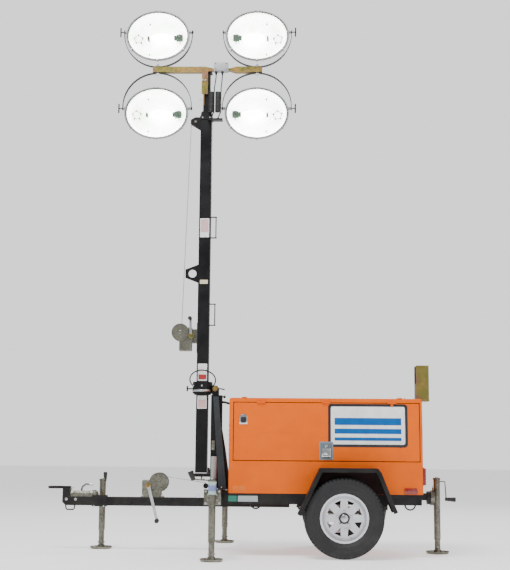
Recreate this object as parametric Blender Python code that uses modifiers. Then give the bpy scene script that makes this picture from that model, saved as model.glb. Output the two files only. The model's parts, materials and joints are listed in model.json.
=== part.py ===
# Towable light tower: trailer, canopy, folding telescopic mast and four lamps.
# Metres, +Z up, +X to the rear of the trailer, -Y is the side with the wheel in front.
# Heights are built up from the tyre's radius, widths from the chassis.

import math

import bmesh
import bpy
from mathutils import Matrix, Vector

# General clearances
SEAT = 0.0003
RUN = 0.006
WELD = 0.001

# Wheels and axle
TYRE_R = 0.344
TYRE_WIDTH = 0.205
RIM_R = 0.1965
RIM_FLANGE = 0.0115
RIM_LIP_R = RIM_R + RIM_FLANGE
RIM_WIDTH = TYRE_WIDTH - 0.04
RIM_SHEET = 0.006
WHEEL_SIDES = 32
RIM_HOLES = 8
SPINDLE_R = 0.02
HUB_R = 0.046
HUB_CAP_OUT = 0.052
HUB_BACK = 0.055
AXLE_X = 0.82
AXLE_Z = TYRE_R
AXLE_SIZE = 0.05

# Chassis
CHASSIS_X = (-0.18, 1.50)
CHASSIS_HALF_Y = 0.55
RAIL_Z = (AXLE_Z + 0.106, AXLE_Z + 0.196)
RAIL_WIDTH = 0.05
DECK_Z = RAIL_Z[1]
WHEEL_GAP = 0.0275
WHEEL_Y = CHASSIS_HALF_Y + WHEEL_GAP + TYRE_WIDTH / 2
STUB_Y = 0.20
STUB_HALF = 0.03
CROSS_WIDTH = 0.06
CROSS_X = (CHASSIS_X[0], 0.28, AXLE_X - CROSS_WIDTH / 2, CHASSIS_X[1] - CROSS_WIDTH)
LOOP_X = (CHASSIS_X[0] + 0.24, CHASSIS_X[1] - 0.10)
LOOP_R = 0.045
LOOP_ROD = 0.007
HANGER_HALF_X = 0.02
HANGER_HALF_Y = 0.04
HANGER_DROP = 0.045

# Springs
SPRING_Y = CHASSIS_HALF_Y - 0.10
SPRING_REACH = 0.37
SPRING_X = (AXLE_X - SPRING_REACH, AXLE_X + SPRING_REACH)
SPRING_WIDTH = 0.06
SPRING_PACK = 0.022
SPRING_END = 0.0176
SPRING_STEPS = 14

# Drawbar
BAR_FRONT_X = -1.73
BAR_REAR_X = 0.355
BAR_HALF = 0.04
BAR_TOP_Z = RAIL_Z[0] + 0.028
BAR_HEIGHT = 0.078
BAR_NOSE = 0.05
BAR_NOSE_RUN = 0.03
CROSS_Z = BAR_TOP_Z + SEAT

# Hitch on the drawbar's nose
HITCH_BLOCK_X = (BAR_FRONT_X + WELD, BAR_FRONT_X + 0.07)
HITCH_BLOCK_HEIGHT = 0.075
HITCH_PLATE = 0.022
HITCH_NECK_HALF = 0.03
EYE_CENTRE_X = BAR_FRONT_X - 0.072
EYE_OUTER_R = 0.068
EYE_INNER_R = 0.038
COUPLER_X = (HITCH_BLOCK_X[1] + 0.005, HITCH_BLOCK_X[1] + 0.275)
COUPLER_HALF = 0.036
COUPLER_HEIGHT = 0.052
COUPLER_CHAMFER = 0.014
COUPLER_BALL_R = 0.04
COUPLER_CUP_R = 0.028
LATCH_R = 0.009

# Canopy: upright sides, leaning in above a crease, with an upright band under the roof
CANOPY_X = (CHASSIS_X[0], CHASSIS_X[1] + 0.015)
CANOPY_HALF_Y = CHASSIS_HALF_Y
CANOPY_HEIGHT = 0.83
CANOPY_Z = (DECK_Z + SEAT, DECK_Z + CANOPY_HEIGHT)
CANOPY_WALL = 0.03
CANOPY_FLOOR = 0.012
CANOPY_EDGE_R = 0.018
CANOPY_LEAN = 0.021
CREASE_Z = DECK_Z + 0.53
BAND_Z = CANOPY_Z[1] - 0.025
DOOR_X = (CANOPY_X[0] + 0.042, CANOPY_X[1] - 0.028)
DOOR_Z = (DECK_Z + 0.285, CANOPY_Z[1] - 0.043)
DOOR_EDGE_R = 0.003
HINGE_SPACING = 0.575
HINGE_X = [sum(DOOR_X) / 2 + step * HINGE_SPACING for step in (-1, 0, 1)]
HINGE_OUT = 0.0075
HINGE_Z = DOOR_Z[1] + RUN / 2
KNUCKLE = 0.026
KNUCKLE_R = 0.0065
LEAF_T = 0.004
LEAF_HEIGHT = 0.0245
LOUVRE_COUNT = 7
LOUVRE_PITCH = 0.042
LOUVRE_HEIGHT = 0.030
LOUVRE_DEPTH = 0.009
LOUVRE_LIP = 0.003
LOUVRE_Y = (0.13, 0.43)
LOUVRE_Z = DECK_Z + 0.33

# Engine and generator
ENGINE_X = (0.08, 1.18)
ENGINE_HALF_Y = 0.24
ENGINE_HEIGHT = 0.56

# Fenders
FENDER_OUT_Y = WHEEL_Y + TYRE_WIDTH / 2 + 0.0175
FENDER_T = 0.006
FENDER_LIP = 0.035
FENDER_TOP = TYRE_R + 0.077
FENDER_LINE = [(-TYRE_R - 0.053, 0.032), (-0.209, FENDER_TOP), (0.283, FENDER_TOP),
               (0.313, FENDER_TOP - 0.035),
               (TYRE_R + 0.058, 0.163), (TYRE_R + 0.106, 0.056)]

# Outriggers and jacks
HOUSING_X = CHASSIS_X[0] - 0.11
HOUSING_SIZE = 0.08
HOUSING_WALL = 0.005
HOUSING_HALF_Y = CHASSIS_HALF_Y
HOUSING_Z = BAR_TOP_Z + SEAT + HOUSING_SIZE / 2
BEAM_REACH = 0.395
BEAM_OVERLAP = 0.15
BEAM_OUT_Y = HOUSING_HALF_Y + BEAM_REACH
BEAM_IN_Y = HOUSING_HALF_Y - BEAM_OVERLAP
PAD_T = 0.008
PAD_HALF = (0.072, 0.064)
JACK_R = 0.030
JACK_INNER_R = 0.0255
JACK_CAP = 0.004
JACK_BITE = 0.006
JACK_FOOT_R = 0.098
JACK_SIDES = 16
LEG_SIDES = 12
LEG_DROP = 0.075
FOOT_FLAT = 0.012
CRANK_ROD = 0.006
SIDE_JACK_Y = BEAM_OUT_Y + 0.055
SIDE_JACK_Z = (0.155, DECK_Z + 0.115)
SIDE_RING_R = 0.05
TONGUE_JACK_X = BAR_FRONT_X + 0.34
TONGUE_JACK_Y = 0.15
TONGUE_JACK_Z = BAR_TOP_Z - 0.036
TONGUE_TUBE_Z = (0.17, BAR_TOP_Z + 0.147)
TONGUE_CLAMP_HALF = (0.066, 0.05)
TONGUE_CLAMP_T = 0.008
TONGUE_STUB_Y = 0.095
TONGUE_STUB_R = 0.028
TONGUE_RING_R = 0.042
CLAMP_BOLT_X = 0.045
CLAMP_BOLT_R = 0.0035
REAR_JACK_X = CHASSIS_X[1] + 0.20
REAR_JACK_Z = RAIL_Z[0] + 0.047
REAR_TUBE_Z = (0.125, RAIL_Z[0] + 0.215)
REAR_STUB_X = CHASSIS_X[1] + 0.12
REAR_STUB_HALF = 0.04
REAR_STUB_LOW = 0.022
REAR_FLANGE_R = 0.06
REAR_RING_R = 0.068

# Tower that carries the mast
TOWER_X = (HOUSING_X - 0.084, HOUSING_X + 0.018)
TOWER_HALF_Y = 0.045
TOWER_BASE_Z = HOUSING_Z + HOUSING_SIZE / 2 + SEAT
PIVOT_X = HOUSING_X - 0.046
PIVOT_Z = CANOPY_Z[1] + 0.104
PIVOT_R = 0.015
PIVOT_HEAD_R = 0.026
PIVOT_HEAD_Y = 0.060
TOWER_POST_TOP = PIVOT_Z - 0.059
TOWER_LEG_Y = 0.088
EAR_R = 0.03
EAR_IN_Y = 0.0303
EAR_LOW = 0.144
SHELF_T = 0.03
SHELF_HALF_Y = 0.06
CANISTER_R = 0.0285
CANISTER_X = HOUSING_X - 0.048
CANISTER_Z = (DECK_Z + 0.110, DECK_Z + 0.317)
CATCH_X = (TOWER_X[0] + 0.011, TOWER_X[0] + 0.041)
CATCH_Z = (DECK_Z + 0.372, DECK_Z + 0.457)
CATCH_T = 0.012
PULLEY_X = TOWER_X[0] - 0.041
PULLEY_Z = TOWER_BASE_Z + 0.0264
PULLEY_R = 0.024

# Mast
MAST_HALF = 0.054
MAST_WALL = 0.005
SECTION_GAP = 0.005
MID_HALF = MAST_HALF - MAST_WALL - SECTION_GAP
INNER_HALF = MID_HALF - MAST_WALL - SECTION_GAP
JOURNAL_R = 1.45 * MAST_HALF
COLLAR_R = JOURNAL_R + 0.0147
MAST_X = PIVOT_X - COLLAR_R - 0.029
MAST_Z = (TOWER_BASE_Z + 0.1464, PIVOT_Z + 2.616)
MID_Z = (MAST_Z[0] + 0.045, MAST_Z[1] + 0.035)
INNER_Z = (MAST_Z[0] + 0.095, MID_Z[1] + 0.4112)
SHELF_X = (MAST_X - MAST_HALF - 0.008, TOWER_X[0] + 0.004)
SHELF_Z = MAST_Z[0] - 0.007
GUIDE_T = 0.035
STOP_T = 0.012
CAP_T = 0.008
CAP_HALF = INNER_HALF + 0.016
SHEAVE_X = 0.05
SHEAVE_Z = 0.05
SHEAVE_R = 0.040
CHEEK_Y = 0.02
CHEEK_T = 0.006
WIRE_R = 0.003
EYE_Z = PIVOT_Z + 1.086
EYE_DEPTH = 0.125
EYE_HOLE_R = 0.038
CABLE_GUIDE_Z = (PIVOT_Z + 1.531, PIVOT_Z + 0.696)
CABLE_GUIDE_HALF = 0.1
CABLE_GUIDE_OUT = 0.05
GLAND_Z = MAST_Z[1] - 0.060
GLAND_T = 0.015
GLAND_OUT_Y = 0.125

# Collar that tilts on the tower and in which the mast turns
COLLAR_Z = (PIVOT_Z - 0.044, PIVOT_Z + 0.049)
LUG_R = 0.028
HOOP_R = 0.12
HOOP_TILT = math.radians(45)
HOOP_Z = COLLAR_Z[1] + 0.035
HOOP_ROD = 0.006
HOOP_SIDES = 28
KNOB_REACH = 0.05
KNOB_HALF = 0.025
KNOB_ROD = 0.006

# Winches
TILT_WINCH_X = -0.845
TILT_WINCH_R = 0.088
TILT_WINCH_WIDTH = 0.075
TILT_WINCH_Z = BAR_TOP_Z + 0.137
TILT_HUB_X = TILT_WINCH_X - 0.095
TILT_HUB_Z = BAR_TOP_Z + 0.104
TILT_CRANK_LENGTH = 0.33
MAST_WINCH_X = MAST_X - MAST_HALF - 0.161
MAST_WINCH_Z = PIVOT_Z + 0.526
MAST_WINCH_R = 0.082
MAST_WINCH_WIDTH = 0.07
MAST_HUB_X = MAST_X - MAST_HALF - SEAT - 0.06
MAST_HUB_Z = MAST_WINCH_Z - 0.03
MAST_CRANK_LENGTH = 0.17
WINCH_CHEEK = 0.008
DRUM_SHARE = 0.62
CRANK_T = 0.006

# Lamps and their yokes
LAMP_HALF_W = 0.3075
LAMP_HALF_H = 0.25
LAMP_DROP = 0.06
LAMP_FRONT = 0.08
LAMP_SIDES = 24
LAMP_PIVOT = LAMP_HALF_H + LAMP_DROP + 0.075
LAMP_TILT = {"top": 0.0, "bottom": 5.0}
LAMP_BOSS_R = 0.014
YOKE_A = LAMP_HALF_W + 0.0255
YOKE_T = 0.006
YOKE_WIDTH = 0.036
YOKE_STRAIGHT = 0.02
YOKE_TIP = 0.018
YOKE_NUT = 0.006
YOKE_NUT_R = 0.011
YOKE_GRIP_REACH = 0.035
YOKE_GRIP_HALF = 0.045
LAMP_X = YOKE_A + 0.1505

# Crossarm: two arms that narrow to a web behind the junction box
ARM_SIZE = 0.055
ARM_Z = INNER_Z[1] + SEAT + ARM_SIZE / 2
ARM_HALF_LENGTH = LAMP_X + 0.0465
ARM_WEB_HALF = 0.009
ARM_WEB_X = (MAST_X + 0.060, MAST_X + 0.216)
ARM_FULL_X = (MAST_X - 0.020, MAST_X + 0.281)
BRACKET_X = (MAST_X - 0.050, MAST_X + 0.010)
BRACKET_T = 0.005
BRACKET_DROP = 0.23
BRACKET_ROD_R = 0.004
BRACKET_ROD_DROP = 0.115
BOX_X = (MAST_X + 0.068, MAST_X + 0.208)
BOX_LOW = 0.04
BOX_HIGH = 0.045
BOX_DEPTH = 0.075

# Coiled cords: the X where each leaves the box, its coil's X and its coil's top
CORDS = (("coil_cord_a", 0.090, 0.050, ARM_Z - 0.234), ("coil_cord_b", 0.150, 0.115, ARM_Z - 0.224))
COIL_R = 0.031
CORD_TOP_Y = -0.070
COIL_Y = -0.092

# Cradle on the roof and tail lamps
REST_WIDTH = 0.118
REST_LAP = 0.14
REST_HALF_Y = 0.09
REST_PLATE = 0.018
REST_GAP = 0.008
REST_WALL = 0.008
REST_HEIGHT = 0.33
TAIL_Y = CANOPY_HALF_Y - 0.10
TAIL_HALF_Y = 0.05
TAIL_Z = (DECK_Z + 0.08, DECK_Z + 0.23)
TAIL_DEPTH = 0.03

PARTS = "mobile_light_tower"
SIDES = (("near", -1), ("far", 1))

COLOURS = {
    "orange": ((0.90, 0.16, 0.01, 1), 0.30, 0.0),
    "black": ((0.012, 0.012, 0.013, 1), 0.42, 0.0),
    "tower_grey": ((0.045, 0.055, 0.06, 1), 0.45, 0.0),
    "galvanised": ((0.36, 0.36, 0.33, 1), 0.50, 0.85),
    "yellow_zinc": ((0.55, 0.42, 0.16, 1), 0.38, 0.85),
    "rim_white": ((0.75, 0.76, 0.78, 1), 0.25, 0.30),
    "rubber": ((0.015, 0.015, 0.015, 1), 0.80, 0.0),
    "steel": ((0.45, 0.46, 0.47, 1), 0.35, 1.0),
    "lamp_grey": ((0.35, 0.36, 0.36, 1), 0.45, 0.4),
    "lens": ((0.95, 0.97, 1.0, 1), 0.08, 0.0),
    "red": ((0.50, 0.01, 0.01, 1), 0.20, 0.0),
    "box_grey": ((0.60, 0.61, 0.61, 1), 0.45, 0.0),
    "cast": ((0.20, 0.21, 0.22, 1), 0.60, 0.5),
}


# Helpers

def clear_scene():
    for old in list(bpy.data.objects):
        bpy.data.objects.remove(old, do_unlink=True)


def make_collection(name):
    group = bpy.data.collections.new(name)
    bpy.context.scene.collection.children.link(group)
    return group


def make_material(name):
    colour, rough, metal = COLOURS[name]
    mat = bpy.data.materials.new(name)
    mat.use_nodes = True
    shader = mat.node_tree.nodes["Principled BSDF"]
    shader.inputs["Base Color"].default_value = colour
    shader.inputs["Roughness"].default_value = rough
    shader.inputs["Metallic"].default_value = metal
    mat.diffuse_color = colour
    return mat


def mesh_object(name, bm):
    mesh = bpy.data.meshes.new(name)
    bm.to_mesh(mesh)
    bm.free()
    obj = bpy.data.objects.new(name, mesh)
    parts.objects.link(obj)
    return obj


def baked(obj):
    """Turn an object with curves or modifiers into a plain welded mesh."""
    bpy.context.view_layer.update()
    graph = bpy.context.evaluated_depsgraph_get()
    mesh = bpy.data.meshes.new_from_object(obj.evaluated_get(graph))
    mesh.transform(obj.matrix_world)
    bm = bmesh.new()
    bm.from_mesh(mesh)
    bmesh.ops.remove_doubles(bm, verts=bm.verts, dist=0.00005)
    bm.to_mesh(mesh)
    bm.free()
    name = obj.name
    bpy.data.objects.remove(obj, do_unlink=True)
    plain = bpy.data.objects.new(name, mesh)
    parts.objects.link(plain)
    return plain


def span(a, b):
    """Two ends of a stretch in rising order."""
    return min(a, b), max(a, b)


def box(low, high, bevel=0.0):
    bm = bmesh.new()
    bmesh.ops.create_cube(bm, size=1.0)
    low = Vector(low)
    high = Vector(high)
    bmesh.ops.scale(bm, vec=high - low, verts=bm.verts)
    bmesh.ops.translate(bm, vec=(low + high) / 2, verts=bm.verts)
    if bevel:
        bmesh.ops.bevel(bm, geom=bm.edges[:], offset=bevel, segments=2, profile=0.5, affect="EDGES")
    return mesh_object("box", bm)


def rod(start, end, radius, sides=20, end_radius=None):
    start = Vector(start)
    end = Vector(end)
    top = radius if end_radius is None else end_radius
    bm = bmesh.new()
    bmesh.ops.create_cone(bm, cap_ends=True, segments=sides, radius1=radius, radius2=top,
                          depth=(end - start).length)
    turn = (end - start).to_track_quat("Z", "Y").to_matrix().to_4x4()
    bmesh.ops.transform(bm, matrix=Matrix.Translation((start + end) / 2) @ turn, verts=bm.verts)
    return mesh_object("rod", bm)


def turned(profile, centre, axis, sides=32, scale=(1, 1, 1)):
    """Revolve (radius, height) points, top to bottom on the outer side, about an axis."""
    mesh = bpy.data.meshes.new("turned")
    points = [(radius, 0, height) for radius, height in profile]
    closed = profile[0][0] > 0
    count = len(points)
    edges = [(i, (i + 1) % count) for i in range(count if closed else count - 1)]
    mesh.from_pydata(points, edges, [])
    obj = bpy.data.objects.new("turned", mesh)
    parts.objects.link(obj)
    screw = obj.modifiers.new("Screw", "SCREW")
    screw.steps = sides
    screw.render_steps = sides
    screw.use_merge_vertices = True
    screw.merge_threshold = 0.00005
    turn = Vector(axis).to_track_quat("Z", "Y").to_matrix().to_4x4()
    obj.matrix_world = Matrix.Translation(centre) @ Matrix.Diagonal((*scale, 1)) @ turn
    return baked(obj)


def tube(points, radius, cyclic=False, radii=None):
    curve = bpy.data.curves.new("tube", "CURVE")
    curve.dimensions = "3D"
    curve.bevel_depth = radius
    curve.bevel_resolution = 2
    curve.use_fill_caps = not cyclic
    spline = curve.splines.new("POLY")
    spline.points.add(len(points) - 1)
    for index, point in enumerate(points):
        spline.points[index].co = (*point, 1)
        spline.points[index].radius = radii[index] if radii else 1.0
    spline.use_cyclic_u = cyclic
    obj = bpy.data.objects.new("tube", curve)
    parts.objects.link(obj)
    return baked(obj)


def plate(outlines, low, high, axis):
    """Extrude flat outlines along an axis; the first is the edge, the others are holes."""
    curve = bpy.data.curves.new("plate", "CURVE")
    curve.dimensions = "2D"
    curve.fill_mode = "BOTH"
    curve.extrude = (high - low) / 2
    for outline in outlines:
        spline = curve.splines.new("POLY")
        spline.points.add(len(outline) - 1)
        for index, point in enumerate(outline):
            spline.points[index].co = (point[0], point[1], 0, 1)
        spline.use_cyclic_u = True
    obj = bpy.data.objects.new("plate", curve)
    parts.objects.link(obj)
    middle = (low + high) / 2
    frames = {
        "X": Matrix(((0, 0, 1, middle), (1, 0, 0, 0), (0, 1, 0, 0), (0, 0, 0, 1))),
        "Y": Matrix(((1, 0, 0, 0), (0, 0, -1, middle), (0, 1, 0, 0), (0, 0, 0, 1))),
        "Z": Matrix.Translation((0, 0, middle)),
    }
    obj.matrix_world = frames[axis]
    return baked(obj)


def soften(obj, width, foot, segments):
    """Round the sharp edges of a flat-sided piece, apart from those that lie at its foot."""
    bm = bmesh.new()
    bm.from_mesh(obj.data)
    bmesh.ops.dissolve_limit(bm, angle_limit=math.radians(1), verts=bm.verts, edges=bm.edges)
    sharp = [edge for edge in bm.edges
             if edge.calc_face_angle(0.0) > math.radians(30) and max(v.co.z for v in edge.verts) > foot]
    bmesh.ops.bevel(bm, geom=sharp, offset=width, segments=segments, profile=0.5, affect="EDGES",
                    clamp_overlap=True)
    bm.to_mesh(obj.data)
    bm.free()
    return obj


def circle(centre, radius, count=24):
    turn = 2 * math.pi / count
    return [(centre[0] + radius * math.cos(i * turn), centre[1] + radius * math.sin(i * turn))
            for i in range(count)]


def arc(centre, radius, first, last, count=12):
    """Points of an arc between two angles in degrees."""
    angles = [math.radians(first + (last - first) * i / count) for i in range(count + 1)]
    return [(centre[0] + radius * math.cos(a), centre[1] + radius * math.sin(a)) for a in angles]


def rectangle(centre, half_x, half_y):
    x, y = centre
    return [(x - half_x, y - half_y), (x + half_x, y - half_y),
            (x + half_x, y + half_y), (x - half_x, y + half_y)]


def square_tube(centre, half, wall, low, high, axis):
    return plate([rectangle(centre, half, half), rectangle(centre, half - wall, half - wall)],
                 low, high, axis)


def joined(pieces, operation="UNION"):
    """Union the pieces, or cut the later ones from the first."""
    body = pieces[0]
    for piece in pieces[1:]:
        mod = body.modifiers.new("Join", "BOOLEAN")
        mod.operation = operation
        mod.solver = "EXACT"
        mod.object = piece
        plain = baked(body)
        bpy.data.objects.remove(piece, do_unlink=True)
        body = plain
    return body


def cut(body, cutters):
    return joined([body] + cutters, "DIFFERENCE")


def finish(name, pieces, colour, smooth=40):
    """Name one closed piece and give it its own material."""
    body = joined(pieces)
    body.name = name
    body.data.name = name
    mat = make_material(colour)
    mat.name = name
    body.data.materials.clear()
    body.data.materials.append(mat)
    body.data.shade_smooth()
    body.data.set_sharp_from_angle(angle=math.radians(smooth))
    return body


def hang(obj, point):
    """Put an object's origin on its joint's axis."""
    shift = Vector(point)
    obj.data.transform(Matrix.Translation(-shift))
    obj.location = shift
    return obj


# Trailer

def make_frame():
    x0, x1 = CHASSIS_X
    z0, z1 = RAIL_Z
    y1 = CHASSIS_HALF_Y
    inner = y1 - RAIL_WIDTH
    reach = inner + 0.01
    top = z1 - WELD
    pieces = [box((x0, -y1, z0), (x1, -inner, z1)), box((x0, inner, z0), (x1, y1, z1))]
    for x in CROSS_X:
        pieces.append(box((x, -reach, CROSS_Z), (x + CROSS_WIDTH, reach, top)))
    front = HOUSING_X + HOUSING_SIZE / 2 + SEAT
    for y in (-STUB_Y, STUB_Y):
        pieces.append(box((front, y - STUB_HALF, CROSS_Z), (x0 + 0.02, y + STUB_HALF, top)))
    for side in (-1, 1):
        for x in LOOP_X:
            half_round = arc((x, z0 + 0.005), LOOP_R, 0, -180, 8)
            ring = [(u, side * (y1 - RAIL_WIDTH / 2), v) for u, v in half_round]
            pieces.append(tube(ring, LOOP_ROD))
        for x in SPRING_X:
            y = side * SPRING_Y
            hanger = box((x - HANGER_HALF_X, y - HANGER_HALF_Y, z0 - HANGER_DROP),
                         (x + HANGER_HALF_X, y + HANGER_HALF_Y, CROSS_Z + 0.005))
            inside, outside = span(side * (SPRING_Y - HANGER_HALF_Y), side * reach)
            bridge = box((x - HANGER_HALF_X, inside, CROSS_Z), (x + HANGER_HALF_X, outside, top - WELD))
            pieces += [hanger, bridge]
    return finish("frame", pieces, "black")


def make_drawbar():
    top = BAR_TOP_Z
    low = top - BAR_HEIGHT
    side = [(BAR_FRONT_X, top), (BAR_FRONT_X, top - BAR_NOSE), (BAR_FRONT_X + BAR_NOSE_RUN, low),
            (BAR_REAR_X, low), (BAR_REAR_X, top)]
    return finish("drawbar", [plate([side], -BAR_HALF, BAR_HALF, "Y")], "black")


def make_hitch():
    base = BAR_TOP_Z + SEAT
    top = base + HITCH_BLOCK_HEIGHT
    x0, x1 = HITCH_BLOCK_X
    half = HITCH_PLATE / 2
    block = box((x0, -BAR_HALF, base), (x1, BAR_HALF, top))
    neck = box((EYE_CENTRE_X + EYE_INNER_R + 0.01, -HITCH_NECK_HALF, top - 0.003),
               (x1, HITCH_NECK_HALF, top - 0.003 + HITCH_PLATE))
    ring = turned([(EYE_OUTER_R, half), (EYE_OUTER_R, -half), (EYE_INNER_R, -half), (EYE_INNER_R, half)],
                  (EYE_CENTRE_X, 0, top - 0.003 + half), (0, 0, 1), sides=28)
    return finish("hitch_eye", [block, neck, ring], "black")


def make_coupler():
    base = BAR_TOP_Z + SEAT
    x0, x1 = COUPLER_X
    half = COUPLER_HALF
    high = base + COUPLER_HEIGHT
    shoulder = high - 0.017
    arch = [(-half, base), (half, base), (half, shoulder), (half - COUPLER_CHAMFER, high),
            (COUPLER_CHAMFER - half, high), (-half, shoulder)]
    body = plate([arch], x0, x1 - 0.06, "X")
    ball_x = x1 - 0.055
    dome = turned([(0.0, COUPLER_HEIGHT + 0.010), (COUPLER_BALL_R / 2, COUPLER_HEIGHT + 0.006),
                   (COUPLER_BALL_R - 0.008, COUPLER_HEIGHT - 0.007), (COUPLER_BALL_R, COUPLER_HEIGHT / 2),
                   (COUPLER_BALL_R, 0.0), (0.0, 0.0)], (ball_x, 0, base), (0, 0, 1), sides=20)
    cup = rod((ball_x, 0, base - 0.01), (ball_x, 0, base + 0.03), COUPLER_CUP_R)
    latch = tube([(x0 + 0.09, 0, high - 0.012), (x0 + 0.10, 0, high + 0.033), (x0 + 0.13, 0, high + 0.060),
                  (x0 + 0.20, 0, high + 0.056)], LATCH_R)
    return finish("ball_coupler", [cut(joined([body, dome]), [cup]), latch], "galvanised")


# Canopy

def side_y(z):
    """Half width of the canopy at a height."""
    share = (z - CREASE_Z) / (BAND_Z - CREASE_Z)
    return CANOPY_HALF_Y - CANOPY_LEAN * min(max(share, 0.0), 1.0)


def side_line(inset, low, high):
    """Points up one side of the canopy, with the crease and the band's lower edge where they fall."""
    levels = [low] + [z for z in (CREASE_Z, BAND_Z) if low < z < high] + [high]
    return [(side_y(z) - inset, z) for z in levels]


def canopy_block(inset, low, high, x0, x1):
    line = side_line(inset, low, high)
    return plate([line + [(-y, z) for y, z in reversed(line)]], x0, x1, "X")


def hinge_half(x0, x1, side, up):
    """A knuckle on the hinge line and the leaf that holds it to the panel above or below."""
    skin = side_y(HINGE_Z)
    y0, y1 = span(side * (skin - LEAF_T / 2 - WELD), side * (skin + LEAF_T))
    z0, z1 = span(HINGE_Z + up * (RUN / 2 + WELD / 2), HINGE_Z + up * (RUN / 2 + LEAF_HEIGHT))
    leaf = box((x0 + WELD, y0, z0), (x1 - WELD, y1, z1))
    y = side * (skin + HINGE_OUT)
    pin = rod((x0, y, HINGE_Z), (x1, y, HINGE_Z), KNUCKLE_R, 12)
    return [leaf, pin]


def louvres(face, way, side):
    """A column of hooded slats on an end wall, as one comb that is let into the wall."""
    back = face - way * CANOPY_WALL / 3
    skin = face - way * WELD / 2
    tip = face + way * LOUVRE_DEPTH
    line = [(back, LOUVRE_Z)]
    for i in range(LOUVRE_COUNT):
        z = LOUVRE_Z + i * LOUVRE_PITCH
        line += [(skin, z), (tip, z), (tip, z + LOUVRE_LIP), (skin, z + LOUVRE_HEIGHT)]
    line.append((back, line[-1][1]))
    low, high = span(side * LOUVRE_Y[0], side * LOUVRE_Y[1])
    return plate([line], low, high, "Y")


def make_canopy():
    x0, x1 = CANOPY_X
    z0, z1 = CANOPY_Z
    wall = CANOPY_WALL
    y_out = CANOPY_HALF_Y + 0.1
    shell = soften(canopy_block(0, z0, z1, x0, x1), CANOPY_EDGE_R, z0 + WELD, 3)
    hollow = canopy_block(wall, z0 + CANOPY_FLOOR, z1 - wall, x0 + wall, x1 - wall)
    doors = box((DOOR_X[0] - RUN, -y_out, DOOR_Z[0] - RUN), (DOOR_X[1] + RUN, y_out, DOOR_Z[1] + RUN))
    pieces = [cut(shell, [hollow, doors])]
    for side in (-1, 1):
        pieces += [louvres(x0, -1, side), louvres(x1, 1, side)]
        for x in HINGE_X:
            for way in (-1, 1):
                ends = span(x + way * (KNUCKLE / 2 + SEAT), x + way * KNUCKLE * 1.5)
                pieces += hinge_half(*ends, side, 1)
    return finish("canopy", pieces, "orange")


def make_doors():
    for name, side in SIDES:
        skin = side_line(0, *DOOR_Z) + side_line(CANOPY_WALL, *DOOR_Z)[::-1]
        panel = plate([[(side * y, z) for y, z in skin]], DOOR_X[0], DOOR_X[1], "X")
        pieces = [soften(panel, DOOR_EDGE_R, 0.0, 2)]
        for x in HINGE_X:
            pieces += hinge_half(x - KNUCKLE / 2, x + KNUCKLE / 2, side, -1)
        door = finish("door_" + name, pieces, "orange")
        hang(door, (sum(DOOR_X) / 2, side * (side_y(HINGE_Z) + HINGE_OUT), HINGE_Z))


def make_engine():
    base = CANOPY_Z[0] + CANOPY_FLOOR + SEAT
    x0, x1 = ENGINE_X
    block = box((x0, -ENGINE_HALF_Y, base), (x1, ENGINE_HALF_Y, base + ENGINE_HEIGHT))
    return finish("engine", [block], "cast")


# Running gear

def make_axle():
    half = AXLE_SIZE / 2
    beam_y = WHEEL_Y - RIM_WIDTH / 2 - 0.012
    tip_y = WHEEL_Y + HUB_CAP_OUT - 0.007
    beam = box((AXLE_X - half, -beam_y, AXLE_Z - half), (AXLE_X + half, beam_y, AXLE_Z + half))
    spindle = rod((AXLE_X, -tip_y, AXLE_Z), (AXLE_X, tip_y, AXLE_Z), SPINDLE_R, 24)
    return finish("axle", [beam, spindle], "black")


def make_springs():
    """Each spring is a parabola from the axle's pad up to its two hangers."""
    base = AXLE_Z + AXLE_SIZE / 2 + SEAT
    rise = RAIL_Z[0] - HANGER_DROP - SEAT - base - SPRING_END
    lower = []
    upper = []
    for i in range(SPRING_STEPS + 1):
        share = 2 * i / SPRING_STEPS - 1
        x = AXLE_X + share * SPRING_REACH
        z = base + rise * share * share
        lower.append((x, z))
        upper.append((x, z + SPRING_PACK + (SPRING_END - SPRING_PACK) * abs(share)))
    for name, side in SIDES:
        y = side * SPRING_Y
        leaf = plate([lower + upper[::-1]], y - SPRING_WIDTH / 2, y + SPRING_WIDTH / 2, "Y")
        finish("spring_" + name, [leaf], "galvanised")


def tyre_profile():
    """Half of the tyre's section from the tread down to the bead, then mirrored."""
    half = TYRE_WIDTH / 2
    lip = RIM_WIDTH / 2
    wall = TYRE_R - RIM_LIP_R
    tread = [(TYRE_R, 0.0325 - half), (TYRE_R - 0.06 * wall, 0.0145 - half),
             (TYRE_R - 0.22 * wall, 0.002 - half), (TYRE_R - 0.515 * wall, -half),
             (TYRE_R - 0.81 * wall, 0.008 - half), (RIM_LIP_R + 0.006, 0.020 - half),
             (RIM_LIP_R + 0.001, 0.0055 - lip), (RIM_R + SEAT, 0.0077 - lip)]
    return [(r, -y) for r, y in reversed(tread)] + tread


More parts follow.
